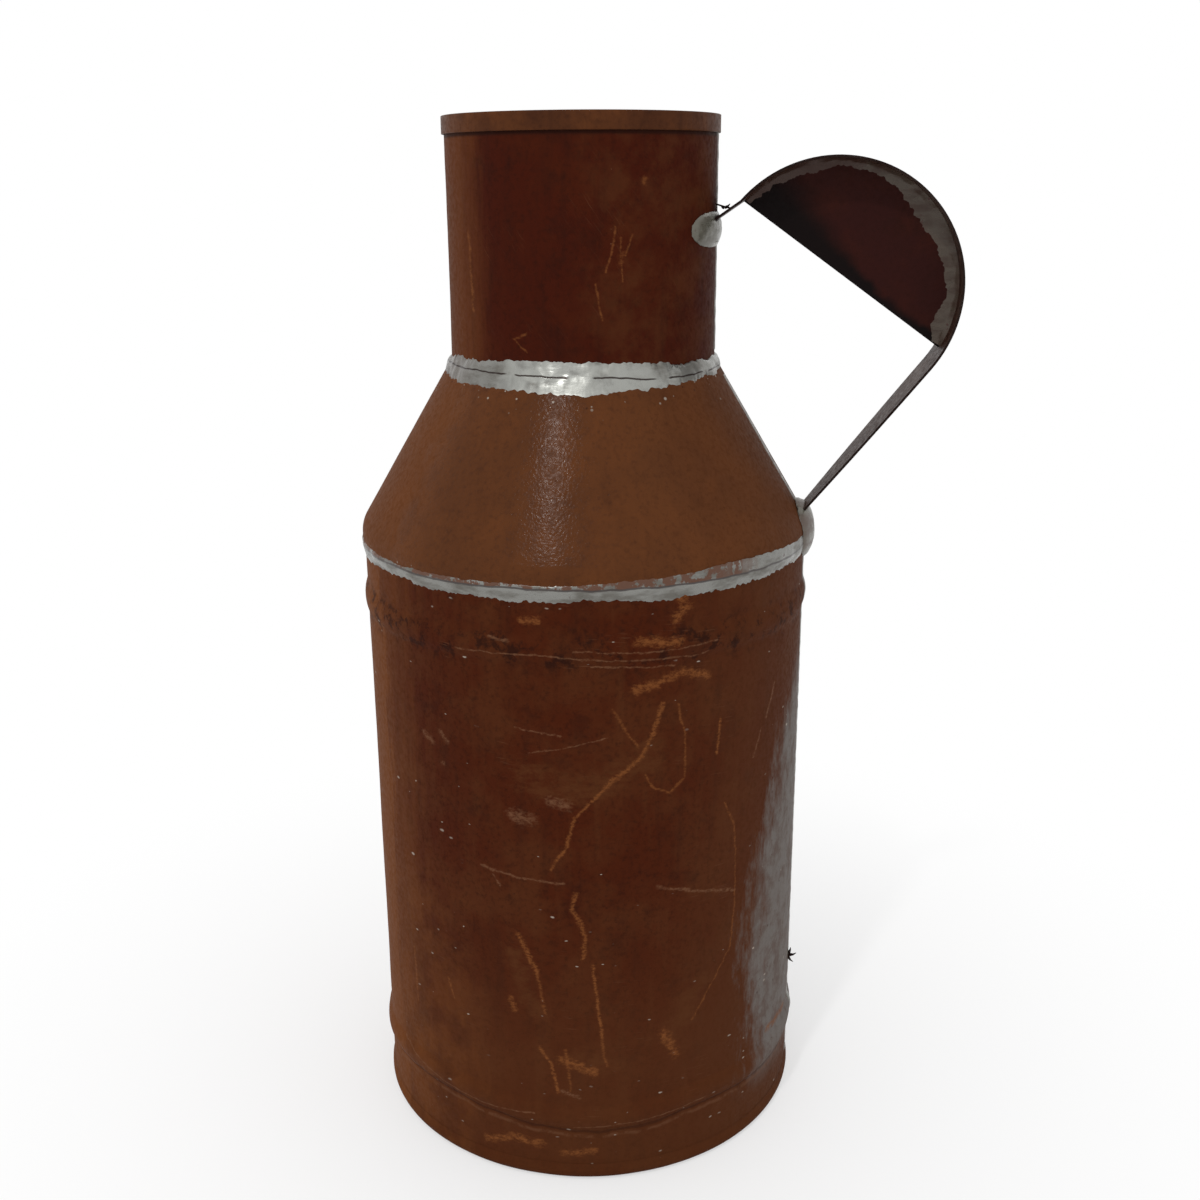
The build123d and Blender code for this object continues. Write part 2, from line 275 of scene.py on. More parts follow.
def over(tree, mask, share, under, top):
    """Colour with another laid over it in a mask, for a share of its strength."""
    return blend(tree, times(tree, mask, share), under, top)


def layered(tree, shade, layers):
    """Colour with layers laid over it in turn, each a mask, a share of its strength and a colour."""
    for mask, share, top in layers:
        shade = over(tree, mask, share, shade, top)
    return shade


def grain(tree, place, size, detail, roughness=0.55):
    """Noise from 0 to 1 whose largest patches are about size across."""
    inputs = {"Vector": place, "Scale": 1 / size, "Detail": detail, "Roughness": roughness}
    return add(tree, "ShaderNodeTexNoise", inputs).outputs[0]


def patches(tree, place, size, detail, start, end, roughness=0.55):
    """Mask of patches about size across, from where their noise passes start to where it passes end."""
    return ramp(tree, grain(tree, place, size, detail, roughness), start, end)


def sway(tree, place, size, detail, reach, roughness=0.55):
    """Number that sways by up to about reach either way, in waves about size across."""
    return ramp(tree, grain(tree, place, size, detail, roughness), 0.3, 0.7, -reach, reach)


def flecks(tree, place, spacing, radius, share):
    """Flecks of up to a radius, one in each cell of a spacing for that share of the cells."""
    cells = add(tree, "ShaderNodeTexVoronoi", {"Vector": place, "Scale": 1 / spacing}).outputs
    chance = add(tree, "ShaderNodeSeparateColor", {"Color": cells["Color"]}).outputs
    small = maths(tree, "MULTIPLY_ADD", chance["Green"], 2.0, 1.0)
    gap = times(tree, cells["Distance"], small)
    near = ramp(tree, gap, radius / spacing, 0.4 * radius / spacing)
    return times(tree, near, maths(tree, "LESS_THAN", chance["Red"], share))


def group_tree(name, kind, inputs, outputs):
    """Node group with named sockets, with the outputs of its input node and the inputs of its output node."""
    tree = bpy.data.node_groups.new(name, kind)
    for label, (sort, default) in inputs.items():
        socket = tree.interface.new_socket(label, in_out="INPUT", socket_type="NodeSocket" + sort)
        if default is not None:
            socket.default_value = default
    for label, sort in outputs.items():
        tree.interface.new_socket(label, in_out="OUTPUT", socket_type="NodeSocket" + sort)
    return tree, tree.nodes.new("NodeGroupInput").outputs, tree.nodes.new("NodeGroupOutput").inputs


# ---- Geometry Nodes ----
def close_tree(tree, shape, material, output):
    """Ends a tree with one plain mesh in its material."""
    plain = add(tree, "GeometryNodeRealizeInstances", {"Geometry": shape}).outputs[0]
    dressed = add(tree, "GeometryNodeSetMaterial", {"Geometry": plain, "Material": material}).outputs[0]
    tree.links.new(dressed, output)


def turned_sheet_tree():
    """Turns an outline, drawn in the XZ plane, once round the Z axis."""
    inputs = {
        "Outline": ("Geometry", None),
        "Radius": ("Float", 0.1),
        "Segments": ("Int", 360),
        "Material": ("Material", None),
    }
    tree, given, result = group_tree("Turned Sheet", "GeometryNodeTree", inputs, {"Sheet": "Geometry"})
    drawn = axes(tree, add(tree, "GeometryNodeInputPosition").outputs[0])
    across = minus(tree, drawn["X"], given["Radius"])
    down = times(tree, drawn["Z"], -1.0)
    upright = add(tree, "ShaderNodeCombineXYZ", {"X": across, "Y": down}).outputs[0]
    line = add(tree, "GeometryNodeMeshToCurve", {"Mesh": given["Outline"]}).outputs[0]
    profile = add(tree, "GeometryNodeSetPosition", {"Geometry": line, "Position": upright}).outputs[0]
    ring = {"Resolution": given["Segments"], "Radius": given["Radius"]}
    circle = add(tree, "GeometryNodeCurvePrimitiveCircle", ring).outputs["Curve"]
    wall = add(tree, "GeometryNodeCurveToMesh", {"Curve": circle, "Profile Curve": profile}).outputs[0]
    whole = add(tree, "GeometryNodeMergeByDistance", {"Geometry": wall, "Distance": WELD}).outputs[0]
    close_tree(tree, whole, given["Material"], result["Sheet"])
    return tree


def beaten_tree():
    """Moves a surface in and out with dents and ripples, but not where the handle is soldered on."""
    inputs = {
        "Surface": ("Geometry", None),
        "Dent Depth": ("Float", 0.001),
        "Dent Size": ("Float", 0.06),
        "Ripple Depth": ("Float", 0.0002),
        "Ripple Size": ("Float", 0.014),
        "Seed": ("Float", 3.0),
        "Material": ("Material", None),
    }
    tree, given, result = group_tree("Beaten Surface", "GeometryNodeTree", inputs, {"Surface": "Geometry"})
    place = add(tree, "GeometryNodeInputPosition").outputs[0]
    outward = vectors(tree, "NORMALIZE", vectors(tree, "MULTIPLY", place, (1, 1, 0)))
    away = ramp(tree, dot(tree, outward, (1, 0, 0)), SEAM_NEAR, SEAM_NEAR - SEAM_FADE)
    depth = None
    for depth_name, size_name in (("Dent Depth", "Dent Size"), ("Ripple Depth", "Ripple Size")):
        scale = maths(tree, "DIVIDE", 1.0, given[size_name])
        noisy = {"Vector": place, "W": given["Seed"], "Scale": scale, "Detail": 1.0}
        wave = add(tree, "ShaderNodeTexNoise", noisy, noise_dimensions="4D").outputs[0]
        swing = times(tree, minus(tree, wave, 0.5), given[depth_name])
        depth = swing if depth is None else plus(tree, depth, swing)
    move = scaled(tree, outward, times(tree, depth, away))
    moved = add(tree, "GeometryNodeSetPosition", {"Geometry": given["Surface"], "Offset": move}).outputs[0]
    close_tree(tree, moved, given["Material"], result["Surface"])
    return tree


# ---- Pieces ----
def baked(obj):
    """Plain mesh of an object with its modifiers; the object itself is taken away."""
    bpy.context.scene.collection.objects.link(obj)
    shape = obj.evaluated_get(bpy.context.evaluated_depsgraph_get())
    mesh = bpy.data.meshes.new_from_object(shape)
    bpy.data.objects.remove(obj)
    return mesh


def made(source, *stages):
    """Plain mesh that Geometry Nodes trees, each with its values, make of a mesh one after the other."""
    maker = bpy.data.objects.new("maker", source)
    for tree, values in stages:
        modifier = maker.modifiers.new(tree.name, "NODES")
        modifier.node_group = tree
        for socket in tree.interface.items_tree:
            if socket.item_type == "SOCKET" and socket.in_out == "INPUT" and socket.name in values:
                modifier[socket.identifier] = values[socket.name]
    return baked(maker)


def piece(name, mesh, slot, *replaced):
    """Finished piece of the can that rides on it."""
    obj = bpy.data.objects.new(name, mesh)
    mesh.name = name
    bpy.context.scene.collection.objects.link(obj)
    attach(obj, "root")
    if replaced:
        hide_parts(*replaced)
    return obj


def solder_piece(name, mesh, node, *materials):
    """Finished piece of solder in its materials, in place of a CAD node."""
    for material in materials:
        mesh.materials.append(coated(material))
    return piece(name, tidied(mesh), "solder", node)


# ---- Outlines in the radius-height plane ----
def steps(start, end, count):
    """Evenly spaced numbers from start to end, with both ends."""
    return [start + (end - start) * i / count for i in range(count + 1)]


def rows(start, end, pitch):
    """Heights from start to end, about a pitch apart."""
    return steps(start, end, max(1, round(abs(end - start) / pitch)))


def swage(height, middle, width, rise):
    """How far a bead stands out of its wall at a height."""
    off = abs(height - middle) / (0.5 * width)
    return rise * (1 - off ** 2) if off < 1 else 0.0


def wall_heights():
    """Heights up the body, closer together over its beads."""
    size = sizes()
    lower_reach = 0.6 * size.lower_bead_width
    upper_reach = 0.6 * size.upper_bead_width
    heights = rows(BODY_FOOT, size.lower_bead - lower_reach, 3 * MM)[:-1]
    heights += rows(size.lower_bead - lower_reach, size.lower_bead + lower_reach, MM)
    heights += rows(heights[-1], size.upper_bead - upper_reach, 5 * MM)[1:-1]
    heights += rows(size.upper_bead - upper_reach, size.upper_bead + upper_reach, MM)
    return heights + rows(heights[-1], BODY_TOP - 0.5 * size.sheet, 4 * MM)[1:]


def wall_radius(height):
    """Outside radius of the body with its two beads."""
    size = sizes()
    low = swage(height, size.lower_bead, size.lower_bead_width, size.lower_bead_rise)
    high = swage(height, size.upper_bead, size.upper_bead_width, size.upper_bead_rise)
    return SKIRT_RADIUS - size.lap_gap - size.sheet + low + high


def cone_lean():
    """Height of the corner of skirt and cone, radius of the opening, and the cone's angle to the axis."""
    size = sizes()
    corner = SKIRT_EDGE + size.skirt_height
    opening = NECK_INSIDE + 2 * size.sheet + size.lap_gap
    return corner, opening, atan2(SKIRT_RADIUS - opening, CONE_TOP - corner)


def cone_radius(height):
    """Outside radius of the cone at a height."""
    corner, _, lean = cone_lean()
    return SKIRT_RADIUS - (height - corner) * tan(lean)


def shoulder_line(stand_off):
    """Skirt, roll and cone, from the skirt's edge up, at a distance outside their outer face."""
    corner, opening, lean = cone_lean()
    roll = sizes().roll_radius
    middle = (SKIRT_RADIUS - roll, corner - roll * tan(lean / 2))
    skirt = [(SKIRT_RADIUS + stand_off, height) for height in rows(SKIRT_EDGE, middle[1], MM)]
    arm = roll + stand_off
    bend = [(middle[0] + arm * cos(turn), middle[1] + arm * sin(turn)) for turn in steps(0, lean, 10)]
    start = bend[-1]
    end = (opening + stand_off * cos(lean), CONE_TOP)
    cone = [(start[0] + (end[0] - start[0]) * part, start[1] + (end[1] - start[1]) * part)
            for part in steps(0, 1, 20)]
    return skirt[:-1] + bend[:-1] + cone


def lip(first, second):
    """Half circle that rounds the edge of a sheet from one face to the other."""
    middle = Vector(((first[0] + second[0]) / 2, (first[1] + second[1]) / 2))
    arm = Vector(first) - middle
    turned = [middle + Matrix.Rotation(-turn, 2) @ arm for turn in steps(0, pi, 4)[1:-1]]
    return [tuple(point) for point in turned]


def sheet_outline(outside, inside):
    """Closed outline of a sheet between its faces, with rounded edges, outside face first."""
    around = outside + lip(outside[-1], inside[-1]) + inside[::-1] + lip(inside[0], outside[0])
    return outline_mesh(around, closed=True)


def outline_mesh(points, closed):
    """Line mesh in the XZ plane through points of radius and height."""
    edges = [(i, i + 1) for i in range(len(points) - 1)]
    if closed:
        edges.append((len(points) - 1, 0))
    mesh = bpy.data.meshes.new("outline")
    mesh.from_pydata([(radius, 0, height) for radius, height in points], edges, [])
    return mesh


# ---- Surfaces ----
def tidied(mesh):
    """Mesh with outward normals, smooth but for its sharp edges."""
    shape = bmesh.new()
    shape.from_mesh(mesh)
    bmesh.ops.recalc_face_normals(shape, faces=shape.faces)
    shape.to_mesh(mesh)
    shape.free()
    mesh.shade_smooth()
    mesh.set_sharp_from_angle(angle=SHARP_EDGE)
    return mesh


def merged(node):
    """Copy of a CAD node's mesh with its faces joined at their edges and no material."""
    mesh = frame["nodes"][node].data.copy()
    shape = bmesh.new()
    shape.from_mesh(mesh)
    bmesh.ops.remove_doubles(shape, verts=shape.verts, dist=WELD)
    shape.to_mesh(mesh)
    shape.free()
    mesh.materials.clear()
    return mesh


def joined(*meshes):
    """One mesh with the faces of several."""
    shape = bmesh.new()
    for mesh in meshes:
        shape.from_mesh(mesh)
    whole = bpy.data.meshes.new("joined")
    shape.to_mesh(whole)
    shape.free()
    return whole


def net(lines, around=False):
    """Closed skin over rings of equally many points; around joins the last ring to the first."""
    count = len(lines[0])
    points = [point for line in lines for point in line]
    faces = []
    last = len(lines) if around else len(lines) - 1
    for i in range(last):
        here = i * count
        there = (i + 1) % len(lines) * count
        for j in range(count):
            k = (j + 1) % count
            faces.append((here + j, here + k, there + k, there + j))
    if not around:
        faces.append(tuple(range(count)))
        faces.append(tuple(range(len(points) - count, len(points)))[::-1])
    mesh = bpy.data.meshes.new("net")
    mesh.from_pydata(points, [], faces)
    return mesh


def polar(angle, radius, height):
    """Point at an angle round the can's axis, from the side toward the handle."""
    return Vector((radius * cos(angle), radius * sin(angle), height))


def rough(place, size, seed):
    """Smooth noise from about -1 to 1 whose waves are about size long."""
    return noise.noise(place / size + Vector((seed, seed, seed)))


def shared(name, build):
    """Node group of a name, built the first time that it is wanted."""
    return bpy.data.node_groups.get(name) or build()


def beating(material):
    """Stage of making that moves a surface with the dents of the sheet."""
    size = sizes()
    values = {
        "Dent Depth": size.dent_depth, "Dent Size": size.dent_size,
        "Ripple Depth": size.ripple_depth, "Ripple Size": size.ripple_size,
        "Material": material,
    }
    return shared("Beaten Surface", beaten_tree), values


def beaten(mesh, material):
    """Mesh moved with the dents of the sheet."""
    return made(mesh, beating(material))


def turned_sheet(outline, material):
    """Beaten sheet-metal piece turned from its outline."""
    turning = {"Radius": PAN_RADIUS, "Segments": sizes().segments, "Material": material}
    lathe = (shared("Turned Sheet", turned_sheet_tree), turning)
    return tidied(made(outline, lathe, beating(material)))


def wander(turn):
    """Share of the lower bead's wander at an angle from the front; none near the handle's seam."""
    calm = min(1.0, max(0.0, (SEAM_NEAR - sin(turn)) / SEAM_FADE))
    return calm * cos(BEAD_WAVES * turn + BEAD_PHASE)


def wandered(mesh):
    """Body whose lower bead rises and falls a little on its way round."""
    size = sizes()
    reach = 1.7 * size.lower_bead_width
    for vertex in mesh.vertices:
        off = (vertex.co.z - size.lower_bead) / reach
        if abs(off) < 1:
            vertex.co.z += size.bead_wander * wander(atan2(vertex.co.x, -vertex.co.y)) * (1 - off ** 2) ** 2
    return mesh


# ---- Shader groups ----
def object_place(tree):
    """Place on the can, which nothing moves."""
    return add(tree, "ShaderNodeTexCoord").outputs["Object"]


def unrolled_tree():
    """Place on a turned wall of some radius, laid flat: along it from the can's front, and up it."""
    inputs = {"Radius": ("Float", 0.1), "Ragged": ("Float", 0.002), "Grain": ("Float", 0.006)}
    outputs = {"Flat": "Vector", "Front": "Float"}
    tree, given, result = group_tree("Unrolled Wall", "ShaderNodeTree", inputs, outputs)
    place = object_place(tree)
    there = axes(tree, place)
    turn = maths(tree, "ARCTAN2", there["X"], times(tree, there["Y"], -1.0))
    along = times(tree, turn, given["Radius"])
    flat = add(tree, "ShaderNodeCombineXYZ", {"X": along, "Y": there["Z"]}).outputs[0]
    scale = maths(tree, "DIVIDE", 1.0, given["Grain"])
    noisy = {"Vector": place, "Scale": scale, "Detail": 3.0}
    waves = add(tree, "ShaderNodeTexNoise", noisy).outputs["Color"]
    drift = scaled(tree, vectors(tree, "SUBTRACT", waves, (0.5, 0.5, 0.5)), given["Ragged"])
    flat_drift = vectors(tree, "MULTIPLY", drift, (1, 1, 0))
    tree.links.new(vectors(tree, "ADD", flat, flat_drift), result["Flat"])
    tree.links.new(turn, result["Front"])
    return tree


def scratch_tree():
    """Mask of a straight mark between two points of a flat wall."""
    inputs = {
        "Flat": ("Vector", None),
        "Start": ("Vector", None),
        "End": ("Vector", None),
        "Width": ("Float", 0.002),
    }
    tree, given, result = group_tree("Scratch", "ShaderNodeTree", inputs, {"Mask": "Float"})
    way = vectors(tree, "SUBTRACT", given["End"], given["Start"])
    off = vectors(tree, "SUBTRACT", given["Flat"], given["Start"])
    part = maths(tree, "DIVIDE", dot(tree, off, way), dot(tree, way, way))
    part = add(tree, "ShaderNodeClamp", {0: part}).outputs[0]
    nearest = scaled(tree, way, part)
    gap = add(tree, "ShaderNodeVectorMath", {0: off, 1: nearest}, operation="DISTANCE").outputs["Value"]
    edge = times(tree, given["Width"], 0.9)
    tree.links.new(ramp(tree, gap, edge, 0.0), result["Mask"])
    return tree


def hairline_tree():
    """Mask of fine scratches that run round a flat wall, in patches."""
    inputs = {
        "Flat": ("Vector", None),
        "Length": ("Float", 0.012),
        "Width": ("Float", 0.0006),
        "Patch": ("Float", 0.03),
        "Tilt": ("Float", 0.06),
    }
    tree, given, result = group_tree("Hairlines", "ShaderNodeTree", inputs, {"Mask": "Float"})
    there = axes(tree, given["Flat"])
    rise = maths(tree, "MULTIPLY_ADD", there["X"], given["Tilt"], there["Y"])
    along = maths(tree, "DIVIDE", there["X"], given["Length"])
    across = maths(tree, "DIVIDE", rise, given["Width"])
    stretched = add(tree, "ShaderNodeCombineXYZ", {"X": along, "Y": across}).outputs[0]
    lines = ramp(tree, grain(tree, stretched, 1.0, 2.0), 0.6, 0.74)
    scale = maths(tree, "DIVIDE", 1.0, given["Patch"])
    noisy = {"Vector": given["Flat"], "Scale": scale, "Detail": 2.0}
    patch = add(tree, "ShaderNodeTexNoise", noisy).outputs[0]
    tree.links.new(times(tree, lines, ramp(tree, patch, 0.48, 0.62)), result["Mask"])
    return tree


def rust_tree():
    """Mottled, pitted and streaked rust, with its roughness and its relief in metres."""
    inputs = {
        "Place": ("Vector", None),
        "Rust": ("Color", None),
        "Fresh": ("Color", None),
        "Pits": ("Color", None),
        "Cloud": ("Float", 0.5),
        "Streaks": ("Float", 0.3),
        "Pitting": ("Float", 0.3),
        "Blotches": ("Float", 0.35),
        "Peel": ("Float", 0.00004),
        "Gloss": ("Float", 0.42),
    }
    outputs = {"Color": "Color", "Roughness": "Float", "Height": "Float"}
    tree, given, result = group_tree("Rust Skin", "ShaderNodeTree", inputs, outputs)
    place = given["Place"]
    upright = vectors(tree, "MULTIPLY", place, (1, 1, 0.12))
    cloud = grain(tree, place, 34 * MM, 5.0, 0.62)
    runs = grain(tree, upright, 9 * MM, 4.0, 0.6)
    fine = grain(tree, place, 2.2 * MM, 4.0, 0.65)
    peel = grain(tree, place, 1.3 * MM, 2.0, 0.5)
    holes = flecks(tree, place, 5.5 * MM, 0.7 * MM, 0.3)
    blots = grain(tree, place, 13 * MM, 6.0, 0.7)
    skin = layered(tree, given["Rust"], [
        (ramp(tree, cloud, 0.4, 0.66), given["Cloud"], given["Fresh"]),
        (ramp(tree, runs, 0.48, 0.3), given["Streaks"], given["Fresh"]),
        (ramp(tree, runs, 0.52, 0.75), given["Streaks"], given["Pits"]),
        (ramp(tree, blots, 0.5, 0.7), given["Blotches"], given["Pits"]),
        (ramp(tree, fine, 0.45, 0.75), given["Pitting"], given["Pits"]),
        (holes, given["Pitting"], given["Pits"]),
    ])
    roughness = plus(tree, given["Gloss"], ramp(tree, fine, 0.35, 0.7, -0.06, 0.14))
    relief = times(tree, minus(tree, peel, 0.5), given["Peel"])
    grit = times(tree, fine, 0.02 * MM)
    hollow = times(tree, holes, -0.05 * MM)
    height = plus(tree, plus(tree, relief, grit), hollow)
    tree.links.new(skin, result["Color"])
    tree.links.new(roughness, result["Roughness"])
    tree.links.new(height, result["Height"])
    return tree


def solder_tree():
    """Solder, bright or tarnished in patches, with rust that shows through where it has worn away."""
    inputs = {
        "Place": ("Vector", None),
        "Bright": ("Color", None),
        "Dull": ("Color", None),
        "Rust": ("Color", None),
        "Tarnish": ("Float", 0.4),
        "Worn": ("Float", 0.2),
        "Metal": ("Float", 0.9),
        "Lumps": ("Float", 0.00015),
    }
    outputs = {"Color": "Color", "Roughness": "Float", "Metallic": "Float", "Height": "Float"}
    tree, given, result = group_tree("Solder Skin", "ShaderNodeTree", inputs, outputs)
    place = given["Place"]
    level = vectors(tree, "MULTIPLY", place, (1, 1, 3))
    cloud = grain(tree, level, 16 * MM, 4.0, 0.6)
    lumps = grain(tree, level, 7 * MM, 2.0, 0.5)
    fine = grain(tree, place, 1.8 * MM, 4.0, 0.6)
    chips = grain(tree, place, 5 * MM, 5.0, 0.66)
    limit = maths(tree, "MULTIPLY_ADD", given["Worn"], 0.5, 0.2)
    bare = ramp(tree, minus(tree, chips, limit), 0.03, -0.03)
    shade = over(tree, ramp(tree, cloud, 0.4, 0.64), given["Tarnish"], given["Bright"], given["Dull"])
    shade = blend(tree, ramp(tree, fine, 0.62, 0.78, 0.0, 0.55), shade, given["Rust"])
    shade = blend(tree, bare, shade, given["Rust"])
    metal = times(tree, minus(tree, 1.0, bare), given["Metal"])
    grit = times(tree, fine, 0.06 * MM)
    height = maths(tree, "MULTIPLY_ADD", lumps, given["Lumps"], grit)
    tree.links.new(shade, result["Color"])
    tree.links.new(ramp(tree, cloud, 0.35, 0.65, 0.22, 0.42), result["Roughness"])
    tree.links.new(metal, result["Metallic"])
    tree.links.new(height, result["Height"])
    return tree


def placed(tree, name, build, inputs):
    """Outputs of a shared node group placed in a tree with its own values."""
    node = tree.nodes.new("ShaderNodeGroup")
    node.node_tree = shared(name, build)
    feed(tree, node, inputs)
    return node.outputs


def flat_wall(tree, radius, ragged):
    """Place on a turned wall laid flat, which wanders a little."""
    return placed(tree, "Unrolled Wall", unrolled_tree, {"Radius": radius, "Ragged": ragged})["Flat"]


def turn_from_front(tree):
    """Angle round the can from its front, toward the handle."""
    return placed(tree, "Unrolled Wall", unrolled_tree, {"Ragged": 0.0})["Front"]


def rust_skin(tree, rust, fresh, **values):
    """Outputs of the rust group for two colours, with any of its other values."""
    inputs = {"Place": object_place(tree), "Rust": rust, "Fresh": fresh, "Pits": colours().black, **values}
    return placed(tree, "Rust Skin", rust_tree, inputs)


def marks(tree, flat, radius, lines, crumb):
    """Soft mask of marks on a flat wall, broken up in grains about crumb across."""
    mask = None
    for width, points in lines:
        ends = [(radians(turn) * radius, height * MM, 0) for turn, height in points]
        for start, end in zip(ends, ends[1:]):
            inputs = {"Flat": flat, "Start": start, "End": end, "Width": width * MM}
            one = placed(tree, "Scratch", scratch_tree, inputs)["Mask"]
            mask = one if mask is None else maths(tree, "MAXIMUM", mask, one)
    level = vectors(tree, "MULTIPLY", object_place(tree), (1, 1, 1.8))
    crumbs = maths(tree, "MULTIPLY_ADD", mask, 0.35, grain(tree, level, crumb, 6.0, 0.72))
    return times(tree, mask, ramp(tree, crumbs, 0.66, 0.98))


def coat(name, gloss=0.5):
    """New material and its tree; gloss is the specular level of its surface."""
    material = bpy.data.materials.new(name)
    material.use_nodes = True
    tree = material.node_tree
    tree.nodes["Principled BSDF"].inputs["Specular IOR Level"].default_value = gloss
    return material, tree


def finished(material, shade, skin, **own):
    """Material fed with a colour and a skin's other outputs, of which own replaces any by name."""
    tree = material.node_tree
    feeds = {name: own.get(name, skin[name]) for name in ("Roughness", "Metallic", "Height") if name in skin}
    bump = add(tree, "ShaderNodeBump", {"Height": feeds.pop("Height"), "Distance": 1.0}).outputs["Normal"]
    feed(tree, tree.nodes["Principled BSDF"], {"Base Color": shade, "Normal": bump, **feeds})
    return material


def facing(tree, start, end):
    """Mask that rises from start to end degrees round from the front, and fades away at the back."""
    turn = turn_from_front(tree)
    upright = vectors(tree, "MULTIPLY", object_place(tree), (1, 1, 0.15))
    moved = plus(tree, turn, sway(tree, upright, 8 * MM, 4.0, 0.07, 0.65))
    ahead = ramp(tree, maths(tree, "ABSOLUTE", moved), radians(165), radians(120))
    return times(tree, ramp(tree, moved, radians(start), radians(end)), ahead)


# ---- Materials ----
# Each mark is a width in millimetres, then points of degrees from the front toward the handle and
# heights in millimetres.
BODY_SCRATCHES = [
    (3.4, [(27, 227), (25, 216), (22, 205), (13, 192)]),
    (2.6, [(13, 192), (6, 179), (4, 166), (0, 154)]),
    (3.4, [(6, 144), (5, 136), (7, 130), (8, 121), (7.5, 113)]),
    (2.6, [(10, 109), (11, 92), (12, 74)]),
    (4.2, [(-9, 122), (-7, 116), (-4, 105)]),
    (2.6, [(-4, 67), (-1, 60), (1, 45)]),
    (2.4, [(43, 215), (42, 200)]),
]
BODY_SCUFFS = [
    (2.0, [(15, 226), (21, 209)]),
    (1.8, [(31, 226), (33, 211), (33, 193), (29, 187), (25, 190), (23, 196)]),
    (1.8, [(45, 176), (48, 164), (49, 150), (49, 124), (48, 105), (36, 75)]),
    (2.6, [(-4, 105), (-2, 85)]),
    (2.4, [(12, 74), (13, 59)]),
    (2.2, [(3, 67), (4, 46)]),
    (2.4, [(-44, 95), (-43, 68)]),
    (2.4, [(-30, 90), (-28, 81)]),
]
BODY_HAZES = [
    (22.0, [(24, 205), (8, 190), (-6, 196)]),
    (16.0, [(-10, 112), (-4, 84)]),
    (16.0, [(6, 66), (14, 58)]),
    (20.0, [(30, 70), (38, 92)]),
    (14.0, [(-46, 120), (-40, 60)]),
]
BODY_STAINS = [
    (6.0, [(20, 234), (26, 236), (32, 240), (39, 236)]),
    (7.0, [(29, 276), (33, 268), (30, 262)]),
    (7.0, [(21, 255), (31, 253)]),
    (5.0, [(-6, 264), (-2, 264)]),
    (5.0, [(-11, 90), (-10, 85)]),
    (6.0, [(-19, 13), (-11, 18), (-4, 17)]),
    (5.0, [(2, 13), (10, 15)]),
    (6.0, [(66, 46), (80, 44)]),
    (7.0, [(2, 62), (10, 56)]),
    (7.0, [(28, 72), (31, 60)]),
]
BODY_RUBS = [
    (1.2, [(-8, 218), (-3, 216), (3, 215)]),
    (1.1, [(-5, 207), (4, 210), (14, 214)]),
    (9.0, [(-9, 178), (-5, 177)]),
    (7.0, [(0, 186), (4, 184)]),
    (2.0, [(-18, 152), (-10, 150), (3, 148)]),
    (1.6, [(-15, 149), (-13, 144)]),
    (2.4, [(26, 144), (49, 132)]),
    (5.0, [(-35, 206), (-32, 204)]),
    (4.0, [(-29, 209), (-27, 206)]),
    (3.0, [(-29, 195), (-28, 195)]),
    (1.3, [(-23, 249), (-2, 250), (11, 248), (34, 246), (39, 247)]),
    (1.2, [(6, 252), (24, 250), (41, 251)]),
    (1.2, [(10, 245), (30, 243)]),
    (2.2, [(-14, 256), (-9, 255)]),
    (2.4, [(64, 222), (60, 208)]),
    (2.0, [(58, 204), (55, 192)]),
    (1.3, [(-52, 42), (-31, 35), (-19, 33), (-5, 34)]),
    (1.2, [(5, 28), (22, 30), (40, 33)]),
    (3.0, [(2, 46), (6, 43)]),
]
NECK_SCRATCHES = [
    (3.6, [(34, 431), (34, 430)]),
    (1.6, [(22, 413), (21, 404), (18, 396)]),
    (3.6, [(25, 403), (24, 399)]),
    (1.5, [(29, 410), (26, 402)]),
    (1.5, [(24, 409), (25, 392)]),
    (1.5, [(14, 391), (15, 384), (17, 377)]),
    (1.6, [(-14, 372), (-20, 369), (-14, 364)]),
    (3.0, [(-44, 410), (-42, 380)]),
]


def at_height(tree, low, high):
    """Mask that rises from one height to another."""
    return ramp(tree, axes(tree, object_place(tree))["Z"], low, high)


def steel_and_sheen_mask(tree, place):
    """Mask of the worn steel beside the seam, whose grey sheen is painted in, and whose border slants away
    near the top.
    """
    turn = turn_from_front(tree)
    height = axes(tree, place)["Z"]
    knee = ramp(tree, height, 130 * MM, 170 * MM, 0.0, radians(9))
    slant = ramp(tree, height, 180 * MM, 250 * MM, 0.0, radians(28))
    upright = vectors(tree, "MULTIPLY", place, (1, 1, 0.35))
    around = plus(tree, turn, sway(tree, upright, 9 * MM, 6.0, radians(6), 0.7))
    inside = minus(tree, around, plus(tree, knee, slant))
    front = ramp(tree, inside, radians(50), radians(66))
    side = times(tree, front, ramp(tree, around, radians(138), radians(122)))
    return times(tree, side, at_height(tree, 14 * MM, 40 * MM))


def crease(tree, place):
    """Height above the crease along the lower bead, which wanders with it."""
    size = sizes()
    turn = turn_from_front(tree)
    away = ramp(tree, maths(tree, "SINE", turn), SEAM_NEAR, SEAM_NEAR - SEAM_FADE)
    calm = add(tree, "ShaderNodeClamp", {0: away}).outputs[0]
    swing = maths(tree, "COSINE", maths(tree, "MULTIPLY_ADD", turn, BEAD_WAVES, BEAD_PHASE))
    middle = times(tree, times(tree, swing, calm), size.bead_wander)
    foot = size.lower_bead - 0.5 * size.lower_bead_width
    wave = sway(tree, place, 12 * MM, 3.0, 0.7 * MM)
    off = minus(tree, plus(tree, axes(tree, place)["Z"], wave), middle)
    return minus(tree, off, foot)


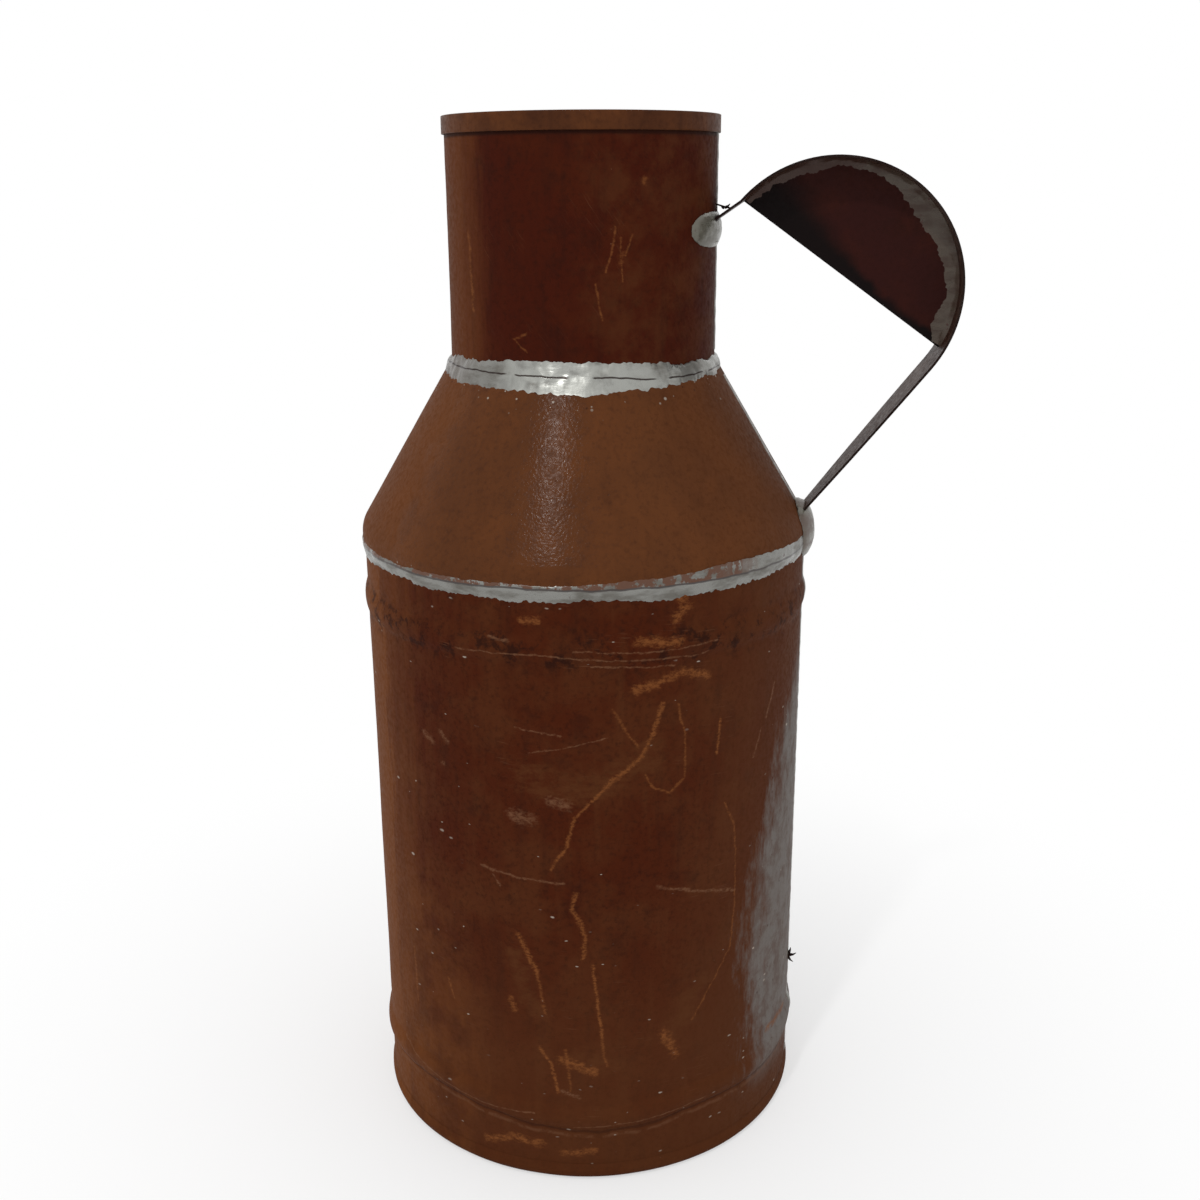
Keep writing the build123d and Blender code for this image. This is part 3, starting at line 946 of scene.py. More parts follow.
def worn_steel_and_sheen(tree, place):
    """Colour of steel that rusts in patches and pocks, with its grey sheen painted in as a pale colour."""
    shades = colours()
    rusted = ramp(tree, grain(tree, place, 10 * MM, 5.0, 0.7), 0.42, 0.66, 0.1, 0.7)
    steel = blend(tree, rusted, shades.steel, shades.worn_strap)
    pocks = flecks(tree, place, 3.6 * MM, 0.9 * MM, 0.4)
    return over(tree, pocks, 0.75, steel, shades.strap)


def body_coat():
    """Rust of the body and the pan, with its scratches, stains, worn steel and beads, a painted sheen on the
    left and on the worn steel, and painted shade and a painted highlight at the lower bead's crease.
    """
    shades = colours()
    size = sizes()
    material, tree = coat("Body Rust", 0.03)
    skin = rust_skin(tree, shades.body, shades.brown, Cloud=0.45, Streaks=0.3, Pitting=0.45, Gloss=0.6)
    place = object_place(tree)
    wall = flat_wall(tree, PAN_RADIUS, 2.5 * MM)
    even = flat_wall(tree, PAN_RADIUS, 0.3 * MM)
    low_left = times(tree, facing(tree, -8, -40), at_height(tree, 170 * MM, 90 * MM))
    olive = times(tree, low_left, patches(tree, place, 20 * MM, 5.0, 0.38, 0.62, 0.66))

    above = crease(tree, place)
    crease_groove_and_shade = ramp(tree, maths(tree, "ABSOLUTE", above), 1.3 * MM, 0.2 * MM)
    below = maths(tree, "ABSOLUTE", plus(tree, above, 2.6 * MM))
    broken = patches(tree, place, 9 * MM, 4.0, 0.4, 0.52, 0.65)
    edge = times(tree, ramp(tree, below, 1.3 * MM, 0.2 * MM), broken)

    from_below = at_height(tree, size.upper_bead - 13 * MM, size.upper_bead - 4 * MM)
    from_above = at_height(tree, size.upper_bead + 13 * MM, size.upper_bead + 4 * MM)
    near = times(tree, from_below, from_above)
    blots = times(tree, near, patches(tree, place, 8 * MM, 6.0, 0.5, 0.62, 0.72))
    hairlines = placed(tree, "Hairlines", hairline_tree, {"Flat": even})["Mask"]
    wide = ramp(tree, grain(tree, place, 60 * MM, 2.0), 0.45, 0.6, 0.1, 0.6)
    ringed = maths(tree, "MAXIMUM", near, wide)

    level = vectors(tree, "MULTIPLY", wall, (0.45, 1, 0))
    clusters = patches(tree, place, 24 * MM, 3.0, 0.48, 0.6)
    crowded = maths(tree, "MAXIMUM", clusters, times(tree, at_height(tree, 70 * MM, 15 * MM), 0.8))
    specks = times(tree, flecks(tree, level, 2.4 * MM, 0.75 * MM, 0.14), crowded)

    shade = layered(tree, skin["Color"], [
        (at_height(tree, 150 * MM, 40 * MM), 0.5, shades.brown),
        (marks(tree, wall, PAN_RADIUS, BODY_HAZES, 8 * MM), 0.75, shades.brown),
        # Painted sheen: the left side of the body laid lighter in orange rust.
        (facing(tree, -32, -50), 0.42, shades.orange_rust_and_sheen),
        (facing(tree, -50, -55), 0.7, shades.orange_rust_and_sheen),
        (facing(tree, 20, 60), 0.5, shades.brown),
        (olive, 0.45, shades.orange_rust_and_sheen),
        # Worn steel, its grey sheen painted into the colour.
        (steel_and_sheen_mask(tree, place), 0.92, worn_steel_and_sheen(tree, place)),
        # Painted shade in the crease under the lower bead, over a shallow groove in the relief.
        (crease_groove_and_shade, 0.4, shades.black),
        # Painted highlight: a lit line just below the crease.
        (edge, 0.35, shades.tan),
        (blots, 0.75, shades.black),
        (times(tree, hairlines, ringed), 0.6, shades.tan),
        (marks(tree, wall, PAN_RADIUS, BODY_STAINS, 2.5 * MM), 0.9, shades.ochre),
        (marks(tree, wall, PAN_RADIUS, BODY_RUBS, 2 * MM), 0.75, shades.tan),
        (marks(tree, wall, PAN_RADIUS, BODY_SCUFFS, 2 * MM), 0.6, shades.ochre),
        (marks(tree, wall, PAN_RADIUS, BODY_SCRATCHES, 1.6 * MM), 0.9, shades.ochre),
        (specks, 0.6, shades.chalk),
    ])
    relief = maths(tree, "MULTIPLY_ADD", crease_groove_and_shade, -0.12 * MM, skin["Height"])
    return finished(material, shade, skin, Height=relief)


def neck_coat():
    """Rust of the neck, with its scratches, a painted sheen on its left side and the painted shadow under the
    hoop.
    """
    shades = colours()
    material, tree = coat("Neck Rust", 0.03)
    skin = rust_skin(tree, shades.neck, shades.body, Cloud=0.5, Streaks=0.35, Pitting=0.4, Gloss=0.55)
    place = object_place(tree)
    wall = flat_wall(tree, NECK_INSIDE, 2.0 * MM)
    clouds = patches(tree, place, 16 * MM, 6.0, 0.4, 0.66, 0.68)
    steep = {"Flat": wall, "Tilt": 1.4, "Length": 9 * MM}
    hairlines = placed(tree, "Hairlines", hairline_tree, steep)["Mask"]
    shade = layered(tree, skin["Color"], [
        # Painted sheen: the left side of the neck laid lighter in orange rust.
        (facing(tree, -30, -52), 0.5, shades.orange_rust_and_sheen),
        (times(tree, facing(tree, 0, 24), clouds), 0.42, shades.brown),
        (marks(tree, wall, NECK_INSIDE, NECK_SCRATCHES, 3 * MM), 0.6, shades.ochre),
        (hairlines, 0.2, shades.tan),
        (flecks(tree, place, 5 * MM, 0.4 * MM, 0.1), 0.6, shades.tan),
        (at_height(tree, HOOP_LOW - 2.2 * MM, HOOP_LOW - 0.8 * MM), 0.8, shades.black),
    ])
    return finished(material, shade, skin)


def cone_coat():
    """Rust of the shoulder, glossier at the front, with a painted sheen on its left side."""
    shades = colours()
    material, tree = coat("Shoulder Rust", 0.05)
    skin = rust_skin(
        tree, shades.cone, shades.orange_rust_and_sheen, Cloud=0.25, Streaks=0.15, Pitting=0.3, Blotches=0.12,
        Peel=0.16 * MM, Gloss=0.19)
    place = object_place(tree)
    near_top = at_height(tree, CONE_TOP - 18 * MM, CONE_TOP - 5 * MM)
    near_skirt = at_height(tree, SKIRT_EDGE + 4 * MM, SKIRT_EDGE + 1 * MM)
    zone = maths(tree, "MAXIMUM", near_top, near_skirt)
    holes = flecks(tree, place, 2.6 * MM, 0.9 * MM, 0.4)
    specks = flecks(tree, place, 2.6 * MM, 0.9 * MM, 0.25)
    shade = layered(tree, skin["Color"], [
        # Painted sheen: the left side of the shoulder laid lighter in orange rust.
        (facing(tree, -30, -55), 0.45, shades.orange_rust_and_sheen),
        (facing(tree, 10, 70), 0.35, shades.brown),
        (times(tree, holes, near_top), 0.8, shades.black),
        (times(tree, specks, zone), 0.75, shades.chalk),
    ])
    matt = maths(tree, "MAXIMUM", facing(tree, 16, 44), facing(tree, -34, -50))
    roughness = maths(tree, "MULTIPLY_ADD", matt, 0.45, skin["Roughness"])
    return finished(material, shade, skin, Roughness=roughness)


def plain_coat(name, rust, fresh, **values):
    """Rust of one kind all over."""
    material, tree = coat(name, 0.05)
    skin = rust_skin(tree, rust, fresh, **values)
    return finished(material, skin["Color"], skin)


def strap_coat():
    """Rust of the strap, black along the cut edges of the sheet."""
    shades = colours()
    material, tree = coat("Strap Rust", 0.05)
    skin = rust_skin(tree, shades.strap, shades.worn_strap, Cloud=0.8, Streaks=0.2)
    normal = axes(tree, add(tree, "ShaderNodeNewGeometry").outputs["Normal"])
    edge = ramp(tree, maths(tree, "ABSOLUTE", normal["Y"]), 0.6, 0.9)
    shade = over(tree, edge, 0.75, skin["Color"], shades.near_black_and_web_shade)
    return finished(material, shade, skin)


def arch_centre():
    """Centre of the handle's arch."""
    size = sizes()
    return Vector((ARCH_REACH - size.arch_radius, 0, ARCH_TOP - size.arch_radius))


def web_coat():
    """Dark rust with painted shade, a black band, along the web's straight edge."""
    shades = colours()
    size = sizes()
    material, tree = coat("Web Rust", 0.05)
    skin = rust_skin(tree, shades.web, shades.body, Cloud=0.3, Streaks=0.0, Pitting=0.3)
    place = object_place(tree)
    across = Vector((sin(size.web_tilt), 0, cos(size.web_tilt)))
    off = vectors(tree, "SUBTRACT", place, tuple(arch_centre() + across * size.web_offset))
    depth = dot(tree, off, tuple(across))
    along = dot(tree, off, (cos(size.web_tilt), 0, -sin(size.web_tilt)))
    reach = ramp(tree, along, -44 * MM, 20 * MM, 20 * MM, 4 * MM)
    wave = sway(tree, place, 14 * MM, 3.0, 1.5 * MM)
    part = maths(tree, "DIVIDE", plus(tree, depth, wave), reach)
    # Painted shade: a black band along the web's straight edge.
    shade = over(tree, ramp(tree, part, 1.3, 0.4), 0.95, skin["Color"], shades.near_black_and_web_shade)
    return finished(material, shade, skin)


def solder_skin(tree, **values):
    """Outputs of the solder group, with any values of its own."""
    shades = colours()
    usual = {"Bright": shades.solder, "Dull": shades.dull, "Rust": shades.neck}
    return placed(tree, "Solder Skin", solder_tree, {"Place": object_place(tree), **usual, **values})


def solder_coat(name, **values):
    """Solder of one kind all over."""
    material, tree = coat(name)
    skin = solder_skin(tree, **values)
    return finished(material, skin["Color"], skin)


def band_coat():
    """Solder with a painted highlight at the front, and painted shade in the crease at the shoulder's upper
    edge.
    """
    shades = colours()
    material, tree = coat("Band Solder")
    skin = solder_skin(tree, Tarnish=0.7, Worn=0.12)
    place = object_place(tree)
    wave = sway(tree, place, 30 * MM, 4.0, 0.8 * MM)
    tilted = dot(tree, place, (0.026, 0, 1))
    off = maths(tree, "ABSOLUTE", minus(tree, plus(tree, tilted, wave), CONE_TOP))
    broken = patches(tree, place, 18 * MM, 3.0, 0.38, 0.46)
    line = times(tree, ramp(tree, off, 0.45 * MM, 0.15 * MM), broken)
    front = times(tree, facing(tree, -26, -14), facing(tree, 66, 14))
    front_highlight = times(tree, front, patches(tree, place, 6 * MM, 4.0, 0.25, 0.5))
    shade = layered(tree, skin["Color"], [
        # Painted highlight: lighter solder at the front, where the lamp's highlight falls.
        (front_highlight, 0.8, shades.bright),
        (facing(tree, -32, -60), 0.5, shades.worn_strap),
        # Painted shade in the crease between the band's neck and shoulder facets.
        (line, 0.9, shades.black),
    ])
    relief = maths(tree, "MULTIPLY_ADD", line, -0.15 * MM, skin["Height"])
    return finished(material, shade, skin, Height=relief)


def edge_coat():
    """Worn solder, patchy above a painted shadow line along the skirt's edge."""
    shades = colours()
    material, tree = coat("Edge Solder")
    skin = solder_skin(tree, Tarnish=0.8, Worn=0.15, Metal=0.75)
    place = object_place(tree)
    wave = sway(tree, place, 20 * MM, 4.0, 0.5 * MM)
    above = minus(tree, plus(tree, axes(tree, place)["Z"], wave), SKIRT_EDGE)
    left_over = patches(tree, place, 5 * MM, 5.0, 0.5, 0.44, 0.68)
    whole = maths(tree, "MAXIMUM", left_over, facing(tree, 44, 56))
    worn = times(tree, ramp(tree, above, 0.0, 0.5 * MM), minus(tree, 1.0, whole))
    # Painted shadow: a dark line along the skirt's edge.
    line = ramp(tree, maths(tree, "ABSOLUTE", above), 0.55 * MM, 0.25 * MM)
    shade = layered(tree, skin["Color"], [(worn, 1.0, shades.cone), (line, 0.85, shades.black)])
    bright = minus(tree, 1.0, maths(tree, "MAXIMUM", worn, line))
    return finished(material, shade, skin, Metallic=times(tree, skin["Metallic"], bright))


def web_solder_coat():
    """Dull solder that turns to brown streaks on the side toward the neck."""
    shades = colours()
    material, tree = coat("Web Solder", 0.3)
    skin = solder_skin(tree, Bright=shades.fillet, Dull=shades.strap, Tarnish=0.6, Worn=0.25, Metal=0.2)
    place = object_place(tree)
    wave = sway(tree, place, 9 * MM, 4.0, 12 * MM)
    middle = arch_centre().x
    brown = ramp(tree, plus(tree, axes(tree, place)["X"], wave), middle + 20 * MM, middle)
    shade = over(tree, brown, 0.85, skin["Color"], shades.strap)
    return finished(material, shade, skin)


def coats():
    """Function that makes the material of each name."""
    shades = colours()
    stained = {"Bright": shades.pad, "Dull": shades.worn_strap, "Tarnish": 0.8}
    return {
        "Body Rust": body_coat,
        "Neck Rust": neck_coat,
        "Shoulder Rust": cone_coat,
        "Web Rust": web_coat,
        "Band Solder": band_coat,
        "Edge Solder": edge_coat,
        "Web Solder": web_solder_coat,
        "Burr Rust": lambda: plain_coat("Burr Rust", shades.near_black_and_web_shade, shades.strap),
        "Hoop Rust": lambda: plain_coat("Hoop Rust", shades.hoop, shades.orange_rust_and_sheen, Cloud=0.35, Streaks=0.35),
        "Strap Rust": strap_coat,
        "Worn Solder": lambda: solder_coat("Worn Solder", Worn=0.4, Metal=0.3, **stained),
        "Foot Solder": lambda: solder_coat("Foot Solder", Worn=0.2, Metal=0.2, **stained),
        "Pad Solder": lambda: solder_coat("Pad Solder", Bright=shades.pad, Tarnish=0.4, Worn=0.05, Metal=0.3),
    }


def coated(name):
    """Material of a name, made the first time that it is wanted."""
    return bpy.data.materials.get(name) or coats()[name]()


# ---- Solder shapes ----
BAND_STEPS = 1080               # steps round a band of solder
BOW_STEPS = 12                  # steps across it
SEAM_STEPS = 8                  # steps across an upright seam
FILLET_STEPS = 220              # steps along a fillet of the web

# How far each band reaches above and below the joint that it covers, how high its crest and its
# lumps stand out, and how much it swells at the front or sweeps up beside the handle.
NECK_BAND_ABOVE = 4.2 * MM
NECK_BAND_BELOW = 4.8 * MM
NECK_BAND_SWELL = 1.5 * MM
NECK_BAND_CREST = 0.9 * MM
NECK_BAND_LUMPS = 0.25 * MM
SKIRT_BAND_ABOVE = 1.6 * MM
SKIRT_BAND_BELOW = 5.2 * MM
SKIRT_BAND_SWEPT = 4.0 * MM
SKIRT_BAND_CREST = 0.3 * MM
SKIRT_BAND_LUMPS = 0.2 * MM
SEAM_THICKNESS = 0.4 * MM
FILLET_HEIGHT = 2.6 * MM        # of the web's fillets, up the strap
FILLET_LUMPS = 0.5 * MM
PAD_VOXEL = 0.4 * MM            # fineness and lumps of the handle's pads
PAD_LUMPS = 0.3 * MM


def bow(first, crest, last):
    """Points of a smooth bow from first to last that passes crest halfway."""
    pull = 2 * crest - (first + last) / 2
    return [first * (1 - t) ** 2 + pull * 2 * t * (1 - t) + last * t ** 2 for t in steps(0, 1, BOW_STEPS)]


def band(ends, crest, back, lump):
    """Ring of solder: at each angle a bow from its upper to its lower edge, with lumps, closed behind."""
    lines = []
    for i in range(BAND_STEPS):
        turn = FULL_TURN * i / BAND_STEPS
        upper, lower = ends(turn)
        line = []
        for j, (radius, height) in enumerate(bow(Vector(upper), Vector(crest(turn)), Vector(lower))):
            place = polar(turn, radius, height)
            swell = sin(pi * j / BOW_STEPS) * lump * rough(place, 3.5 * MM, 7.0)
            line.append(polar(turn, radius + swell, height + 0.5 * swell))
        line += [polar(turn, radius, height) for radius, height in back]
        lines.append(line)
    return net(lines, around=True)


def ragged(place, rag):
    """Wander of an edge: long waves with small teeth on them."""
    waves = rough(place, 26 * MM, 1.0) + 0.6 * rough(place, 7 * MM, 2.0)
    return rag * (waves + 0.55 * rough(place, 2.4 * MM, 3.0) + 0.35 * rough(place, 1.1 * MM, 4.0))


def neck_band_mesh():
    """Solder round the neck's foot, broader at the front and the back."""
    size = sizes()
    _, opening, _ = cone_lean()
    wall = NECK_INSIDE + size.sheet

    def ends(turn):
        place = polar(turn, wall, CONE_TOP)
        broader = NECK_BAND_SWELL * cos(2 * turn + pi)
        up = CONE_TOP + NECK_BAND_ABOVE + broader + ragged(place, size.rag)
        down = CONE_TOP - NECK_BAND_BELOW - broader + ragged(place + Vector((0, 0, 1)), size.rag)
        return (wall, up), (cone_radius(down), down)

    def crest(turn):
        swell = 0.35 * MM * rough(polar(turn, wall, CONE_TOP), 9 * MM, 5.0)
        return opening + NECK_BAND_CREST + swell, CONE_TOP + 0.8 * MM + swell

    back = [(opening, CONE_TOP), (wall, CONE_TOP)]
    return band(ends, crest, back, NECK_BAND_LUMPS)


def shoulder_band_mesh():
    """Solder round the skirt's edge, swept up on the side toward the handle."""
    size = sizes()
    wall = wall_radius(SKIRT_EDGE)

    def ends(turn):
        place = polar(turn, SKIRT_RADIUS, SKIRT_EDGE)
        swept = max(0.0, cos(turn + radians(38))) ** 6 * SKIRT_BAND_SWEPT
        up = SKIRT_EDGE + SKIRT_BAND_ABOVE + swept + 0.6 * ragged(place, size.rag)
        down = SKIRT_EDGE - SKIRT_BAND_BELOW + 1.2 * ragged(place + Vector((0, 0, 1)), size.rag)
        return (SKIRT_RADIUS, max(up, SKIRT_EDGE + 0.3 * MM)), (wall, down)

    def crest(turn):
        swell = 0.2 * MM * rough(polar(turn, SKIRT_RADIUS, SKIRT_EDGE), 9 * MM, 5.0)
        return SKIRT_RADIUS + SKIRT_BAND_CREST + swell, SKIRT_EDGE - 0.6 * MM

    back = [(wall, SKIRT_EDGE), (SKIRT_RADIUS, SKIRT_EDGE)]
    return band(ends, crest, back, SKIRT_BAND_LUMPS)


def seam_mesh(line):
    """Strip of solder up the side toward the handle, along points of radius and height."""
    size = sizes()
    sections = []
    for radius, height in line:
        place = Vector((radius, 0, height))
        left = -size.seam_width / 2 + 0.5 * ragged(place, size.rag)
        right = size.seam_width / 2 + 0.5 * ragged(place + Vector((0, 1, 0)), size.rag)
        section = []
        for across in steps(left, right, SEAM_STEPS):
            part = (across - left) / (right - left)
            swell = SEAM_THICKNESS * (1 + 0.4 * rough(Vector((radius, across, height)), 4 * MM, 9.0))
            out = radius + sin(pi * part) * swell
            section.append(polar(across / radius, out, height))
        below = radius - 0.05 * MM
        for across in steps(right, left, SEAM_STEPS // 2):
            section.append(polar(across / radius, below, height))
        sections.append(section)
    return net(sections)


def web_fillet(side):
    """Fillet of solder between strap and web, with a ragged edge on the web."""
    size = sizes()
    centre = arch_centre()
    ring = size.arch_radius - size.strap_sheet
    middle = pi / 2 - size.web_tilt
    half = acos((size.web_offset + 1.0 * MM) / ring)
    sections = []
    for turn in steps(middle - half, middle + half, FILLET_STEPS):
        out = Vector((cos(turn), 0, sin(turn)))
        place = centre + out * ring
        spread = (turn - middle) / half
        broad = max(0.0, cos((spread + 0.25) * pi / 1.3)) ** 2
        lump_end = max(0.0, 1 - ((spread + 0.86) / 0.13) ** 2)
        width = (3.6 + 4.5 * broad + 4.0 * lump_end) * MM
        width = max(2 * MM, width + 1.4 * ragged(place, size.rag))
        tall = FILLET_HEIGHT + FILLET_LUMPS * rough(place, 6 * MM, 4.0)
        section = []
        for part in steps(0, 1, 10):
            inward = width * (1 - part)
            up = tall * part
            hollow = 0.25 * sin(pi * part)
            lump = FILLET_LUMPS * sin(pi * part) * rough(place + Vector((inward, up, 0)), 3.5 * MM, 6.0)
            reach = ring - inward * (1 - hollow)
            stand = WEB_FACE + up * (1 - hollow) + lump
            section.append(centre + out * reach + Vector((0, side * stand, 0)))
        section.append(centre + out * ring + Vector((0, side * WEB_FACE, 0)))
        sections.append(section)
    return net(sections)


def burr_mesh(foot, ways, thickness=1.0):
    """Splash of solder with an arm of a thickness along each way from its foot, all in millimetres."""
    arms = []
    for way in [Vector(way) * MM for way in ways]:
        side = way.cross(Vector((0, 0.6, 0.8))).normalized()
        other = way.cross(side).normalized()
        rings = []
        for part, share in ((0, 0.9), (0.3, 0.8), (0.65, 0.5), (1, 0.15)):
            thick = share * thickness
            middle = foot + way * part + other * 0.15 * way.length * sin(pi * part)
            rings.append([middle + (side * cos(turn) + other * sin(turn)) * thick * MM
                          for turn in steps(0, FULL_TURN, 8)[:-1]])
        arms.append(net(rings))
    return joined(*arms)


def pad_mesh(node):
    """Finer copy of a CAD pad of solder with lumps on it."""
    source = bpy.data.objects.new("pad", merged(node))
    remesh = source.modifiers.new("Remesh", "REMESH")
    remesh.mode = "VOXEL"
    remesh.voxel_size = PAD_VOXEL
    smooth = source.modifiers.new("Smooth", "SMOOTH")
    smooth.iterations = 6
    mesh = baked(source)
    for vertex in mesh.vertices:
        place = vertex.co.copy()
        out = Vector((place.x, place.y, 0)).normalized()
        vertex.co = place + out * PAD_LUMPS * (rough(place, 8 * MM, 2.0) + 0.4 * rough(place, 2.5 * MM, 3.0))
    return mesh


# ---- Studio ----
def direction(turn, tilt):
    """Way of length 1 at an angle round the can's axis and an angle above level."""
    return Vector((cos(turn) * cos(tilt), sin(turn) * cos(tilt), sin(tilt)))


def even_light(studio):
    """World that lights evenly and looks white."""
    world = bpy.data.worlds.new("Even Light")
    world.use_nodes = True
    tree = world.node_tree
    path = add(tree, "ShaderNodeLightPath").outputs
    mirrored = maths(tree, "MAXIMUM", path["Is Glossy Ray"], path["Is Transmission Ray"])
    seen = maths(tree, "MAXIMUM", path["Is Camera Ray"], mirrored)
    strength = ramp(tree, seen, 0.0, 1.0, studio.sky, 1.0)
    feed(tree, tree.nodes["Background"], {"Color": (1, 1, 1), "Strength": strength})
    return world


def floor_mesh(studio):
    """Floor that keeps the can's shadow and turns white farther out."""
    mesh = bpy.data.meshes.new("floor")
    shape = bmesh.new()
    bmesh.ops.create_circle(shape, cap_ends=True, radius=FLOOR_RADIUS, segments=96)
    shape.to_mesh(mesh)
    shape.free()
    material, tree = coat("Floor", 0.2)
    surface = tree.nodes["Principled BSDF"]
    feed(tree, surface, {"Base Color": studio.floor, "Roughness": 0.6})
    away = add(tree, "ShaderNodeVectorMath", {0: object_place(tree)}, operation="LENGTH").outputs["Value"]
    far = ramp(tree, away, 0.25 * studio.clearing, studio.clearing, studio.glow, 1.0)
    glow = add(tree, "ShaderNodeEmission", {"Color": (1, 1, 1)}).outputs[0]
    share = times(tree, far, add(tree, "ShaderNodeLightPath").outputs["Is Camera Ray"])
    mixed = add(tree, "ShaderNodeMixShader", {0: share, 1: surface.outputs[0], 2: glow}).outputs[0]
    tree.links.new(mixed, tree.nodes["Material Output"].inputs["Surface"])
    mesh.materials.append(material)
    return mesh


# ---- Operators ----
class CAN_OT_pan(bpy.types.Operator):
    """Make the bottom pan"""

    bl_idname = "can.pan"
    bl_label = "Bottom Pan"

    def execute(self, context):
        size = sizes()
        wall = PAN_RADIUS - size.pan_lean
        tight = wall - size.pan_sheet
        middle = wall - size.pan_roll
        flange = PAN_TOP - size.pan_roll

        def floor_and_bend(stand_off):
            roll = size.pan_roll + stand_off
            floor = [(radius, -stand_off) for radius in steps(0, middle, 20)]
            bend = [(middle + roll * sin(turn), size.pan_roll - roll * cos(turn))
                    for turn in steps(0, pi / 2, 6)]
            return floor[:-1] + bend

        fade = [(tight + (wall - tight) * (0.5 + 0.5 * cos(pi * part)), size.pan_roll + part * flange)
                for part in steps(0, 1, 8)[1:]]
        inside = [(tight, PAN_TOP - 0.1 * MM)] + floor_and_bend(-size.pan_sheet)[::-1]
        outline = outline_mesh(floor_and_bend(0.0) + fade + inside, closed=False)
        piece("can_pan", turned_sheet(outline, coated("Body Rust")), "rusted_sheet", "base_pan")
        return {"FINISHED"}


class CAN_OT_body(bpy.types.Operator):
    """Make the body with its two beads"""

    bl_idname = "can.body"
    bl_label = "Body"

    def execute(self, context):
        size = sizes()
        outside = [(wall_radius(height), height) for height in wall_heights()]
        inside = [(radius - size.sheet, height) for radius, height in outside]
        mesh = turned_sheet(sheet_outline(outside, inside), coated("Body Rust"))
        piece("can_body", wandered(mesh), "rusted_sheet", "body_shell")
        return {"FINISHED"}


class CAN_OT_shoulder(bpy.types.Operator):
    """Make the shoulder with its skirt"""

    bl_idname = "can.shoulder"
    bl_label = "Shoulder"

    def execute(self, context):
        outline = sheet_outline(shoulder_line(0.0), shoulder_line(-sizes().sheet))
        mesh = turned_sheet(outline, coated("Shoulder Rust"))
        piece("can_shoulder", mesh, "rusted_sheet", "shoulder_cone")
        return {"FINISHED"}


class CAN_OT_neck(bpy.types.Operator):
    """Make the neck and the hoop round its mouth"""

    bl_idname = "can.neck"
    bl_label = "Neck and Hoop"

    def execute(self, context):
        size = sizes()
        heights = rows(CONE_TOP - 3 * MM, RIM_TOP - 0.5 * size.sheet, 2.5 * MM)
        outside = [(NECK_INSIDE + size.sheet, height) for height in heights]
        inside = [(NECK_INSIDE, height) for height in heights]
        mesh = turned_sheet(sheet_outline(outside, inside), coated("Neck Rust"))
        piece("can_neck", mesh, "rusted_sheet", "neck_tube")

        inner = NECK_INSIDE + size.sheet + size.lap_gap
        rounding = size.hoop_rounding
        outer_face = [(HOOP_RADIUS, height) for height in rows(HOOP_LOW + rounding, RIM_TOP - rounding, MM)]
        top = [(HOOP_RADIUS - rounding * (1 - cos(turn)), RIM_TOP - rounding * (1 - sin(turn)))
               for turn in steps(0, pi / 2, 3)]
        foot = [(radius, RIM_TOP + HOOP_LOW - height) for radius, height in top[::-1]]
        inner_face = [(inner, height) for height in rows(RIM_TOP, HOOP_LOW, MM)]
        outline = outline_mesh(outer_face[1:-1] + top + inner_face + foot, closed=True)
        hoop = turned_sheet(outline, coated("Hoop Rust"))
        piece("can_hoop", hoop, "rusted_hoop", "rim_hoop")
        return {"FINISHED"}


class CAN_OT_bands(bpy.types.Operator):
    """Make the ragged solder round the neck's foot and the shoulder's edge"""

    bl_idname = "can.bands"
    bl_label = "Solder Bands"

    def execute(self, context):
        solder_piece("neck_band", beaten(neck_band_mesh(), coated("Band Solder")), "neck_solder")
        solder_piece("shoulder_band", beaten(shoulder_band_mesh(), coated("Edge Solder")), "shoulder_solder")
        return {"FINISHED"}


class CAN_OT_seams(bpy.types.Operator):
    """Make the solder on the upright seams"""

    bl_idname = "can.seams"
    bl_label = "Upright Seams"

    def execute(self, context):
        size = sizes()
        corner, _, _ = cone_lean()
        wall = NECK_INSIDE + size.sheet
        body = [(wall_radius(height), height) for height in rows(PAN_TOP, FOOT_PAD[0] + 2 * MM, MM)]
        low = max(FOOT_PAD[1] - 2 * MM, corner + 4 * MM)
        cone = [(cone_radius(height), height) for height in rows(low, CONE_TOP - 6 * MM, MM)]
        below = [(wall, height) for height in rows(CONE_TOP + 5 * MM, NECK_PAD[0] + MM, MM)]
        above = [(wall, height) for height in rows(NECK_PAD[1] - MM, HOOP_LOW, MM)]
        foot = polar(0.0, wall_radius(size.burr), size.burr)
        burr = burr_mesh(foot, [(4.2, -0.5, 1.2), (2.8, -1.0, -3.6), (1.4, 0.6, 3.4)])
        for name, lines, splashes, node in (
            ("body_seam", [body], [burr], "body_seam_solder"),
            ("shoulder_seam", [cone], [], "cone_seam_solder"),
            ("neck_seam", [below, above], [], "neck_seam_solder"),
        ):
            strips = [seam_mesh(line) for line in lines]
            seam = solder_piece(name, joined(*strips, *splashes), node, "Worn Solder", "Burr Rust")
            strip_faces = sum(len(strip.polygons) for strip in strips)
            for face in seam.data.polygons[strip_faces:]:
                face.material_index = 1
        return {"FINISHED"}


